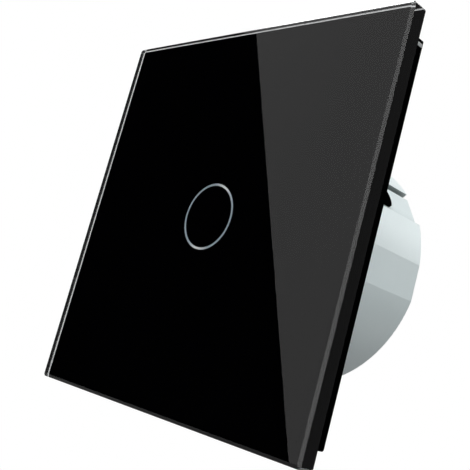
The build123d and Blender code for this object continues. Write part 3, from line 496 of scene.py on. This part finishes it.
# Windings: fine enamelled copper wire laid turn by turn on the relay's bobbin and on the
# transformer's middle leg, both about an axis that runs from front to back.
enamel_painted_groove_shade = "#6e2d12"
enamel_painted_ridge_shine = "#d9783c"
ridge_share = 0.3  # of the wire's thickness stands out as a ridge


def wound_wire(name, wire_mm, axis):
    """Enamelled copper: reddish orange and glossy, with the ridges of the turns at their real pitch."""
    material = bpy.data.materials.new(name)
    material.use_nodes = True
    tree = material.node_tree
    shader = tree.nodes["Principled BSDF"]
    shader.inputs["Metallic"].default_value = 1.0
    shader.inputs["Coat Weight"].default_value = 0.6
    shader.inputs["Coat Roughness"].default_value = 0.12
    place = add_node(tree, "ShaderNodeTexCoord").outputs["Object"]
    turns = add_node(
        tree, "ShaderNodeTexWave",
        {"Scale": band_scale(wire_mm * mm), "Distortion": 0.3, "Detail": 1.0},
        {"Vector": place}, bands_direction=axis,
    )
    # Painted shade and highlight: the colour is darker in the grooves between the turns and lighter on
    # their ridges.
    tone = add_node(
        tree, "ShaderNodeMix", {6: linear(enamel_painted_groove_shade), 7: linear(enamel_painted_ridge_shine)},
        {0: turns.outputs["Fac"]}, data_type="RGBA",
    )
    tree.links.new(tone.outputs[2], shader.inputs["Base Color"])
    shine = add_node(
        tree, "ShaderNodeMapRange", {"To Min": 0.42, "To Max": 0.22}, {"Value": turns.outputs["Fac"]}
    )
    tree.links.new(shine.outputs[0], shader.inputs["Roughness"])
    relief = add_node(
        tree, "ShaderNodeBump", {"Distance": ridge_share * wire_mm * mm}, {"Height": turns.outputs["Fac"]}
    )
    tree.links.new(relief.outputs["Normal"], shader.inputs["Normal"])
    return material


paint(wound_wire("enamelled_copper_relay_coil", wire_mm=0.2, axis="Y"), "relay_winding")
paint(wound_wire("enamelled_copper_transformer_coil", wire_mm=0.25, axis="Y"), "transformer_winding")
# Sintered ferrite: charcoal, dull and slightly gritty.
sintered_ferrite = finish(
    "sintered_ferrite", "#3b3c3e",
    roughness=0.7, grain_mm=0.15, unevenness=0.12, depth_mm=0.01,
)
paint(sintered_ferrite, "transformer_core")


# Smoothing capacitor: an aluminium can in a shrunk vinyl sleeve with a paler stripe down the side of
# its negative lead. The sleeve stops short of the can's bare end. It's soldered to the power board.
can_low, can_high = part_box("smoothing_capacitor")
can_middle = (Vector(can_low) + Vector(can_high)) / 2
bare_length = 0.9 * mm
sleeve_end = can_high[1] - bare_length
stripe_half_width = 1.5 * mm
sleeve_dark = "#20232b"
stripe_grey = "#a9adb0"
bare_aluminium = "#d5d7d8"
shrink_mark = 1.2 * mm
# Shrunk vinyl: nearly black and half glossy, a little uneven. Bare aluminium: bright silver.
sleeve = bpy.data.materials.new("vinyl_sleeve_on_aluminium_can")
sleeve.use_nodes = True
tree = sleeve.node_tree
shader = tree.nodes["Principled BSDF"]
place = add_node(tree, "ShaderNodeTexCoord").outputs["Object"]
spot = add_node(tree, "ShaderNodeSeparateXYZ", links={0: place})
bare = add_node(
    tree, "ShaderNodeMath", {1: sleeve_end}, {0: spot.outputs["Y"]}, operation="GREATER_THAN"
)
from_stripe = add_node(
    tree, "ShaderNodeMath", {1: can_middle.z}, {0: spot.outputs["Z"]}, operation="SUBTRACT"
)
from_stripe = add_node(tree, "ShaderNodeMath", links={0: from_stripe.outputs[0]}, operation="ABSOLUTE")
near_stripe = add_node(
    tree, "ShaderNodeMath", {1: stripe_half_width}, {0: from_stripe.outputs[0]}, operation="LESS_THAN"
)
right_side = add_node(
    tree, "ShaderNodeMath", {1: can_middle.x}, {0: spot.outputs["X"]}, operation="GREATER_THAN"
)
stripe = add_node(
    tree, "ShaderNodeMath", links={0: near_stripe.outputs[0], 1: right_side.outputs[0]},
    operation="MULTIPLY",
)
shrink_marks = add_node(
    tree, "ShaderNodeTexNoise", {"Scale": 1 / shrink_mark, "Detail": 2.0}, {"Vector": place}
)
vinyl = add_node(
    tree, "ShaderNodeMix", {6: linear(sleeve_dark), 7: linear(stripe_grey)}, {0: stripe.outputs[0]},
    data_type="RGBA",
)
can_tone = add_node(
    tree, "ShaderNodeMix", {7: linear(bare_aluminium)}, {0: bare.outputs[0], 6: vinyl.outputs[2]},
    data_type="RGBA",
)
tree.links.new(can_tone.outputs[2], shader.inputs["Base Color"])
tree.links.new(bare.outputs[0], shader.inputs["Metallic"])
gloss = add_node(
    tree, "ShaderNodeMapRange", {"To Min": 0.22, "To Max": 0.38}, {"Value": shrink_marks.outputs["Fac"]}
)
tree.links.new(gloss.outputs[0], shader.inputs["Roughness"])
paint(sleeve, "smoothing_capacitor")


# Film capacitor: a yellow moulded box filled with resin, set down on the power board.
# Moulded polyester box: warm yellow, semi-gloss, a little uneven.
yellow_moulded_case = finish(
    "yellow_moulded_case", "#e0b62f",
    roughness=0.32, grain_mm=0.7, unevenness=0.06, depth_mm=0.003,
)
paint(yellow_moulded_case, "film_capacitor")


# Varistor and bridge rectifier: a disc dipped in blue epoxy, and a block moulded in black epoxy.
# Dipped epoxy: orange-peel skin with soft gloss.
dipped_blue_epoxy = finish(
    "dipped_blue_epoxy", "#2c5aa8",
    roughness=0.35, grain_mm=0.9, unevenness=0.08, depth_mm=0.03,
)
paint(dipped_blue_epoxy, "varistor")
# Moulded epoxy: near black, matt and finely pitted, as on every chip.
chip_body = finish(
    "black_moulded_epoxy", "#232427",
    roughness=0.6, grain_mm=0.12, unevenness=0.10, depth_mm=0.006,
)
paint(chip_body, "bridge_rectifier", "touch_chip")


# Fuse: a glass barrel with a plated cap pressed on each end, lying across the power board.
fuse_low, fuse_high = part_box("fuse")
fuse_middle = (fuse_low[0] + fuse_high[0]) / 2
cap_length = 2.0 * mm
barrel_half = (fuse_high[0] - fuse_low[0]) / 2 - cap_length
nickel_dull = "#b3ad9f"
nickel_bright = "#d2cdc2"
barrel_tint = "#e4ece8"
cap_mark = 0.6 * mm
# Clear glass in the middle, faintly green. Nickel caps: warm grey metal with faint marks.
fuse_look = bpy.data.materials.new("glass_barrel_with_nickel_caps")
fuse_look.use_nodes = True
tree = fuse_look.node_tree
shader = tree.nodes["Principled BSDF"]
place = add_node(tree, "ShaderNodeTexCoord").outputs["Object"]
along = add_node(tree, "ShaderNodeSeparateXYZ", links={0: place})
from_middle = add_node(
    tree, "ShaderNodeMath", {1: fuse_middle}, {0: along.outputs["X"]}, operation="SUBTRACT"
)
from_middle = add_node(tree, "ShaderNodeMath", links={0: from_middle.outputs[0]}, operation="ABSOLUTE")
cap = add_node(
    tree, "ShaderNodeMath", {1: barrel_half}, {0: from_middle.outputs[0]}, operation="GREATER_THAN"
)
cap_marks = add_node(tree, "ShaderNodeTexNoise", {"Scale": 1 / cap_mark}, {"Vector": place})
nickel = add_node(
    tree, "ShaderNodeMix", {6: linear(nickel_dull), 7: linear(nickel_bright)},
    {0: cap_marks.outputs["Fac"]}, data_type="RGBA",
)
fuse_tone = add_node(
    tree, "ShaderNodeMix", {6: linear(barrel_tint)}, {0: cap.outputs[0], 7: nickel.outputs[2]},
    data_type="RGBA",
)
tree.links.new(fuse_tone.outputs[2], shader.inputs["Base Color"])
tree.links.new(cap.outputs[0], shader.inputs["Metallic"])
clear_part = add_node(tree, "ShaderNodeMath", {0: 1.0}, {1: cap.outputs[0]}, operation="SUBTRACT")
tree.links.new(clear_part.outputs[0], shader.inputs["Transmission Weight"])
cap_shine = add_node(
    tree, "ShaderNodeMapRange", {"To Min": 0.03, "To Max": 0.25}, {"Value": cap.outputs[0]}
)
tree.links.new(cap_shine.outputs[0], shader.inputs["Roughness"])
paint(fuse_look, "fuse")


# Parts on the sensor board: ceramic chips, two light-emitting diodes and the pin header that joins the
# boards. All are soldered down.
chip_row_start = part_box("sensor_chip_parts")[0][2]
chip_row_pitch = 3.0 * mm
chip_end = 0.3 * mm
chip_long = 1.6 * mm
fired_dark = "#8a6f4c"
fired_light = "#a5895f"
solder_grey = "#cfcfca"
fired_speckle = 0.15 * mm
# Fired ceramic: brown and finely speckled. Tinned ends: pale grey metal, satin.
ceramic = bpy.data.materials.new("fired_ceramic_with_tinned_ends")
ceramic.use_nodes = True
tree = ceramic.node_tree
shader = tree.nodes["Principled BSDF"]
place = add_node(tree, "ShaderNodeTexCoord").outputs["Object"]
up = add_node(tree, "ShaderNodeSeparateXYZ", links={0: place})
along_row = add_node(
    tree, "ShaderNodeMath", {1: chip_row_start}, {0: up.outputs["Z"]}, operation="SUBTRACT"
)
along_chip = add_node(
    tree, "ShaderNodeMath", {1: chip_row_pitch}, {0: along_row.outputs[0]}, operation="FLOORED_MODULO"
)
from_chip_middle = add_node(
    tree, "ShaderNodeMath", {1: chip_long / 2}, {0: along_chip.outputs[0]}, operation="SUBTRACT"
)
from_chip_middle = add_node(
    tree, "ShaderNodeMath", links={0: from_chip_middle.outputs[0]}, operation="ABSOLUTE"
)
tinned = add_node(
    tree, "ShaderNodeMath", {1: chip_long / 2 - chip_end}, {0: from_chip_middle.outputs[0]},
    operation="GREATER_THAN",
)
speckle = add_node(tree, "ShaderNodeTexNoise", {"Scale": 1 / fired_speckle}, {"Vector": place})
fired = add_node(
    tree, "ShaderNodeMix", {6: linear(fired_dark), 7: linear(fired_light)}, {0: speckle.outputs["Fac"]},
    data_type="RGBA",
)
chip_tone = add_node(
    tree, "ShaderNodeMix", {7: linear(solder_grey)}, {0: tinned.outputs[0], 6: fired.outputs[2]},
    data_type="RGBA",
)
tree.links.new(chip_tone.outputs[2], shader.inputs["Base Color"])
tree.links.new(tinned.outputs[0], shader.inputs["Metallic"])
shader.inputs["Roughness"].default_value = 0.4
paint(ceramic, "sensor_chip_parts")
# Diode body: white ceramic under a clear yellowish cap, glossy.
diode_cap_epoxy = finish(
    "diode_cap_epoxy", "#efe9cf",
    roughness=0.2, grain_mm=0.3, unevenness=0.05, depth_mm=0.002,
)
paint(diode_cap_epoxy, "indicator_leds")
# Header body: black nylon, dull. Its pins: gold flash on brass, bright.
black_header_nylon = finish(
    "black_header_nylon", "#1a1a1c",
    roughness=0.55, grain_mm=0.25, unevenness=0.08, depth_mm=0.004,
)
paint(black_header_nylon, "pin_header_body")
gold_flashed_brass = finish(
    "gold_flashed_brass", "#e6bd6a",
    roughness=0.2, grain_mm=0.4, unevenness=0.06, depth_mm=0.001, metallic=1.0,
)
paint(gold_flashed_brass, "header_pins")


# Light guide: a short flared tube of clear acrylic round the middle of the sensor board. It carries the
# diodes' light to the ring in the print. The cover holds it by its collar.
acrylic_tint = "#eef4f6"
drag_mark = 0.8 * mm
# Polished acrylic: water-clear and glossy, with a slight haze of drag marks that comes and goes.
acrylic = bpy.data.materials.new("polished_clear_acrylic")
acrylic.use_nodes = True
tree = acrylic.node_tree
shader = tree.nodes["Principled BSDF"]
shader.inputs["Base Color"].default_value = linear(acrylic_tint)
shader.inputs["Transmission Weight"].default_value = 0.95
shader.inputs["IOR"].default_value = 1.49
drag = add_node(
    tree, "ShaderNodeTexNoise", {"Scale": 1 / drag_mark, "Detail": 2.0},
    {"Vector": add_node(tree, "ShaderNodeTexCoord").outputs["Object"]},
)
haze = add_node(
    tree, "ShaderNodeMapRange", {"To Min": 0.03, "To Max": 0.22}, {"Value": drag.outputs["Fac"]}
)
tree.links.new(haze.outputs[0], shader.inputs["Roughness"])
paint(acrylic, "light_guide")


# Touch spring: the electrode, a coil of bright spring wire that presses on the back of the glass round
# the middle of the ring. Its leg stands on the sensor board and is soldered there.
wire_radius = 0.3 * mm
wire_sides = 12
coil_radius = 4.4 * mm
bend_radius = 0.9 * mm
leg_side = math.sqrt(coil_radius ** 2 - bend_radius ** 2)
leg_foot = 0.4 * mm
leg_top = -0.2 * mm
bend_steps = 8
coil_turns = 3.25
coil_rise = 3.7 * mm
steps_per_turn = 32
bpy.ops.object.select_all(action="DESELECT")
bpy.ops.mesh.primitive_circle_add(
    vertices=wire_sides, radius=wire_radius,
    location=(leg_side, leg_foot, 0), rotation=(math.radians(90), 0, 0),
)
coil = bpy.context.object
coil.name = "touch_coil"
bpy.ops.object.transform_apply(location=True, rotation=True, scale=True)
bpy.ops.object.mode_set(mode="EDIT")
bpy.ops.mesh.select_mode(type="EDGE")
bpy.ops.mesh.select_all(action="SELECT")


def draw_wire(move, turn, about, centre):
    """Draw the wire's open end out by one step and turn it about an axis."""
    bpy.ops.mesh.extrude_edges_move(TRANSFORM_OT_translate={"value": move})
    bpy.ops.transform.rotate(value=turn, orient_axis=about, center_override=centre)


draw_wire((0, leg_top - leg_foot, 0), 0, "X", (0, 0, 0))
for step in range(bend_steps):
    draw_wire((0, 0, 0), math.radians(90) / bend_steps, "X", (leg_side, leg_top, bend_radius))
rise_per_step = coil_rise / (coil_turns * steps_per_turn)
for step in range(round(coil_turns * steps_per_turn)):
    draw_wire((0, -rise_per_step, 0), math.tau / steps_per_turn, "Y", (0, 0, 0))
bpy.ops.mesh.edge_face_add()
bpy.ops.mesh.select_all(action="DESELECT")
bpy.ops.mesh.select_non_manifold()
bpy.ops.mesh.edge_face_add()
bpy.ops.mesh.select_all(action="SELECT")
bpy.ops.mesh.normals_make_consistent(inside=False)
bpy.ops.object.mode_set(mode="OBJECT")
bpy.ops.object.shade_smooth_by_angle(angle=math.radians(50))
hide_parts("touch_spring")
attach(coil, "module")
# Bright drawn spring wire: silvery, with the die's fine marks.
bright_drawn_spring_wire = finish(
    "bright_drawn_spring_wire", "#c8cacd",
    roughness=0.2, grain_mm=0.12, unevenness=0.06, depth_mm=0.001, metallic=1.0,
)
coil.data.materials.append(bright_drawn_spring_wire)


# Module cover: a cap moulded in black plastic that closes the drum in front. It's held by four screws,
# and its two latch arms reach back into the drum's recesses.
# Black ABS, etched mould: deep matt black that hardly shines, with a very fine grain.
black_abs = finish(
    "black_moulded_abs", "#020202",
    roughness=0.55, grain_mm=0.3, unevenness=0.08, depth_mm=0.002, specular=0.0,
)
paint(black_abs, "module_cover")


# Mounting bracket: a square pressed from zinc-plated sheet, held on the wall box by its two screws.
# The drum's flange is screwed to its front, and the panel frame grips its edges.
# Rolled and plated sheet: bluish grey, satin, with long faint streaks along the roll.
plated_sheet = finish(
    "zinc_plated_sheet", "#b7bbc0",
    roughness=0.34, grain_mm=(0.3, 0.3, 9.0), unevenness=0.08, depth_mm=0.002, metallic=1.0,
)
paint(plated_sheet, "mounting_bracket")


# Panel frame: a shallow tray without a floor, moulded in the same black plastic as the cover. It
# carries the glass and clips round the edges of the bracket.
paint(black_abs, "panel_frame")


# Corner block: a small light grey box set into the frame's right side just below its top corner. Only its
# face shows, about flush with the frame, as a light grey patch.
def start_box(name, low, high):
    """A box mesh with its corners at two points, in edit mode with all selected."""
    bpy.ops.object.select_all(action="DESELECT")
    low, high = Vector(low), Vector(high)
    bpy.ops.mesh.primitive_cube_add(size=1.0, location=(low + high) / 2)
    piece = bpy.context.object
    piece.name = name
    piece.scale = high - low
    bpy.ops.object.transform_apply(location=True, rotation=True, scale=True)
    bpy.ops.object.mode_set(mode="EDIT")
    return piece


frame_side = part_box("panel_frame")[1][0]
plug_depth = 0.8 * mm
plug_proud = 0.04 * mm
plug_front = -4.7 * mm
plug_back = -0.15 * mm
plug_foot = 35.3 * mm
plug_top = 36.1 * mm
plug_rounding = 0.12 * mm
corner_block = start_box(
    "corner_block",
    (frame_side - plug_depth, plug_front, plug_foot),
    (frame_side + plug_proud, plug_back, plug_top),
)
bpy.ops.mesh.bevel(offset=plug_rounding, segments=2)
bpy.ops.object.mode_set(mode="OBJECT")
bpy.ops.object.shade_smooth_by_angle(angle=math.radians(35))
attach(corner_block, "panel")
# Light grey, a little darker than the drum, with a soft sheen.
light_grey_corner_finish = finish(
    "light_grey_corner_finish", "#858887",
    roughness=0.45, grain_mm=0.3, unevenness=0.04, depth_mm=0.002,
)
corner_block.data.materials.append(light_grey_corner_finish)


# Adhesive tape: a die-cut frame of black foam between the panel frame and the print.
# Closed-cell foam: soft, quite matt, with an open-pored look at its cut edge.
black_foam_tape = finish(
    "black_foam_tape", "#0a0a0b",
    roughness=0.95, grain_mm=0.25, unevenness=0.15, depth_mm=0.04,
)
paint(black_foam_tape, "adhesive_tape")


# Print: the back of the glass is screen-printed, silver for the ring and for a hair-wide border, and
# black over all the rest and over the silver's back and edges. On the right the black covers the border.
glass_low, glass_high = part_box("glass_panel")
pale_ink_and_painted_highlight = "#ffffff"
painted_highlight_reach = 0.27 * mm  # how far in from the left edge the pale line shows
# Screen ink under the glass: deep black, opaque and without any gloss of its own, as it's bonded to the
# plate. Along the left edge it is pale, a painted highlight, so that the border's line there is as wide as
# in the photograph.
black_ink = finish(
    "black_screen_ink", "#020203",
    roughness=0.9, grain_mm=0.5, unevenness=0.05, specular=0.0,
)
tree = black_ink.node_tree
shader = tree.nodes["Principled BSDF"]
plain_black = shader.inputs["Base Color"].links[0].from_socket
spot = add_node(
    tree, "ShaderNodeSeparateXYZ", links={0: add_node(tree, "ShaderNodeTexCoord").outputs["Object"]}
)
# Painted highlight: the ink is pale within this reach of the left edge.
painted_left_edge_highlight = add_node(
    tree, "ShaderNodeMath", {1: glass_low[0] + painted_highlight_reach}, {0: spot.outputs["X"]},
    operation="LESS_THAN",
)
border_tone = add_node(
    tree, "ShaderNodeMix", {7: linear(pale_ink_and_painted_highlight)}, {0: painted_left_edge_highlight.outputs[0], 6: plain_black},
    data_type="RGBA",
)
tree.links.new(border_tone.outputs[2], shader.inputs["Base Color"])
paint(black_ink, "black_print")
# Silver ink: in the ring it has a spun look, grey metal with fine circles, and in two sectors a painted
# highlight that turns it pale and not metallic. In the border it's plain and pale, so that it shows as a
# white line round the glass.
spun_ring_light = "#a6b5bf"
spun_ring_dark = "#92a0aa"
covering_black = "#020203"
cover_width = 0.2 * mm  # how far in from the right edge the black reaches over the silver
circle_pitch = 0.12 * mm  # between the circles of the spun look
painted_glint_angles = (math.radians(66), math.radians(264))  # from the right-hand side, upwards
painted_glint_tightness = 22.0
ring_reach = 10.0 * mm  # from the middle: the ring lies within it, the border outside
to_room = 0.5  # a normal that leans further than this towards the room is on the silver's front
silver = bpy.data.materials.new("spun_silver_ink")
silver.use_nodes = True
tree = silver.node_tree
shader = tree.nodes["Principled BSDF"]
shader.inputs["Roughness"].default_value = 0.34
shader.inputs["Anisotropic"].default_value = 0.9
shader.inputs["Specular IOR Level"].default_value = 0.0
place = add_node(tree, "ShaderNodeTexCoord").outputs["Object"]
outward = add_node(
    tree, "ShaderNodeVectorMath", {1: (1.0, 0.0, 1.0)}, {0: place}, operation="MULTIPLY"
).outputs["Vector"]
across_circles = add_node(tree, "ShaderNodeVectorMath", links={0: outward}, operation="NORMALIZE")
tree.links.new(across_circles.outputs["Vector"], shader.inputs["Tangent"])
circles = add_node(
    tree, "ShaderNodeTexWave", {"Scale": band_scale(circle_pitch), "Distortion": 0.4},
    {"Vector": place}, wave_type="RINGS", rings_direction="Y",
)
ring_tone = add_node(
    tree, "ShaderNodeMix", {6: linear(spun_ring_dark), 7: linear(spun_ring_light)},
    {0: circles.outputs["Fac"]}, data_type="RGBA",
)
from_middle = add_node(tree, "ShaderNodeVectorMath", links={0: outward}, operation="LENGTH")
# Painted highlight: the ring's colour turns pale towards two angles, the more narrowly the higher the
# power.
near_painted_glint = [
    add_node(
        tree, "ShaderNodeVectorMath", {1: (math.cos(angle), 0.0, math.sin(angle))},
        {0: across_circles.outputs["Vector"]}, operation="DOT_PRODUCT",
    )
    for angle in painted_glint_angles
]
painted_glint = add_node(
    tree, "ShaderNodeMath",
    links={0: near_painted_glint[0].outputs["Value"], 1: near_painted_glint[1].outputs["Value"]}, operation="MAXIMUM",
)
painted_glint = add_node(tree, "ShaderNodeMath", {1: 0.0}, {0: painted_glint.outputs[0]}, operation="MAXIMUM")
painted_glint = add_node(
    tree, "ShaderNodeMath", {1: painted_glint_tightness}, {0: painted_glint.outputs[0]}, operation="POWER"
)
ring_tone = add_node(
    tree, "ShaderNodeMix", {7: linear(pale_ink_and_painted_highlight)}, {0: painted_glint.outputs[0], 6: ring_tone.outputs[2]},
    data_type="RGBA",
)
in_ring = add_node(
    tree, "ShaderNodeMath", {1: ring_reach}, {0: from_middle.outputs["Value"]}, operation="LESS_THAN"
)
silver_tone = add_node(
    tree, "ShaderNodeMix", {6: linear(pale_ink_and_painted_highlight)}, {0: in_ring.outputs[0], 7: ring_tone.outputs[2]},
    data_type="RGBA",
)
beside = add_node(tree, "ShaderNodeSeparateXYZ", links={0: place})
left_of_edge = add_node(
    tree, "ShaderNodeMath", {1: glass_high[0] - cover_width}, {0: beside.outputs["X"]},
    operation="LESS_THAN",
)
faces_room = add_node(
    tree, "ShaderNodeVectorMath", {1: (0.0, -1.0, 0.0)},
    {0: add_node(tree, "ShaderNodeNewGeometry").outputs["Normal"]}, operation="DOT_PRODUCT",
)
not_covered = add_node(
    tree, "ShaderNodeMath", {1: to_room}, {0: faces_room.outputs["Value"]}, operation="GREATER_THAN"
)
not_covered = add_node(
    tree, "ShaderNodeMath", links={0: not_covered.outputs[0], 1: left_of_edge.outputs[0]},
    operation="MULTIPLY",
)
ink_tone = add_node(
    tree, "ShaderNodeMix", {6: linear(covering_black)},
    {0: not_covered.outputs[0], 7: silver_tone.outputs[2]}, data_type="RGBA",
)
tree.links.new(ink_tone.outputs[2], shader.inputs["Base Color"])
metal_part = add_node(
    tree, "ShaderNodeMath", links={0: in_ring.outputs[0], 1: not_covered.outputs[0]}, operation="MULTIPLY"
)
# Where the painted highlight is, the ink is not metallic.
metal_part = add_node(
    tree, "ShaderNodeMath", links={0: metal_part.outputs[0], 1: painted_glint.outputs[0]}, operation="SUBTRACT",
    use_clamp=True,
)
tree.links.new(metal_part.outputs[0], shader.inputs["Metallic"])
paint(silver, "ring_print")


# Glass panel: one plate of clear float glass, cut square, with a polished arris round its front and
# its four corners touched off. The print lies on its back.
arris_width = 0.65 * mm
arris_depth = 0.35 * mm
corner_dub = 0.45 * mm
bond = 0.02 * mm  # the plate reaches this far into the print, so no air lies between them
faces_out = 0.9  # a normal that leans further than this in a direction is on that side of the plate
ground_roughness = 0.22


def select_where(piece, kind, wanted):
    """Select the faces whose middle and normal the test wants, or the edges whose two ends it wants."""
    bpy.ops.mesh.select_mode(type="FACE" if kind == "faces" else "EDGE")
    bpy.ops.mesh.select_all(action="DESELECT")
    bpy.ops.object.mode_set(mode="OBJECT")
    mesh = piece.data
    if kind == "faces":
        for face in mesh.polygons:
            face.select = wanted(face.center, face.normal)
    else:
        for edge in mesh.edges:
            ends = [mesh.vertices[index].co for index in edge.vertices]
            edge.select = wanted(ends[0], ends[1])
    bpy.ops.object.mode_set(mode="EDIT")


clear_glass = start_box(
    "clear_glass",
    glass_low + Vector((0, arris_depth, 0)),
    glass_high + Vector((0, bond, 0)),
)
select_where(clear_glass, "edges", lambda start, end: abs(start.y - end.y) > mm)
bpy.ops.mesh.bevel(offset=corner_dub, offset_type="OFFSET", segments=1)
select_where(clear_glass, "faces", lambda middle, normal: normal.y < -faces_out)
bpy.ops.mesh.inset(thickness=arris_width)
bpy.ops.transform.translate(value=(0, -arris_depth, 0))
bpy.ops.object.mode_set(mode="OBJECT")
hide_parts("glass_panel")
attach(clear_glass, "panel")

# Polished float glass: colourless and quite clear, so that the black print behind it shows as
# deep black and the surface gives sharp reflections.
glass = bpy.data.materials.new("polished_float_glass")
glass.use_nodes = True
shader = glass.node_tree.nodes["Principled BSDF"]
shader.inputs["Base Color"].default_value = (1, 1, 1, 1)
shader.inputs["Transmission Weight"].default_value = 1.0
shader.inputs["Roughness"].default_value = 0.0
shader.inputs["IOR"].default_value = 1.5
clear_glass.data.materials.append(glass)
# The left edge is only fine-ground: it lets a trace of light in, and shows as a dark grey band.
ground_edge = glass.copy()
ground_edge.name = "fine_ground_glass_edge"
ground_edge.node_tree.nodes["Principled BSDF"].inputs["Roughness"].default_value = ground_roughness
clear_glass.data.materials.append(ground_edge)
for face in clear_glass.data.polygons:
    if face.normal.x < -faces_out:
        face.material_index = 1


bpy.ops.object.select_all(action="DESELECT")
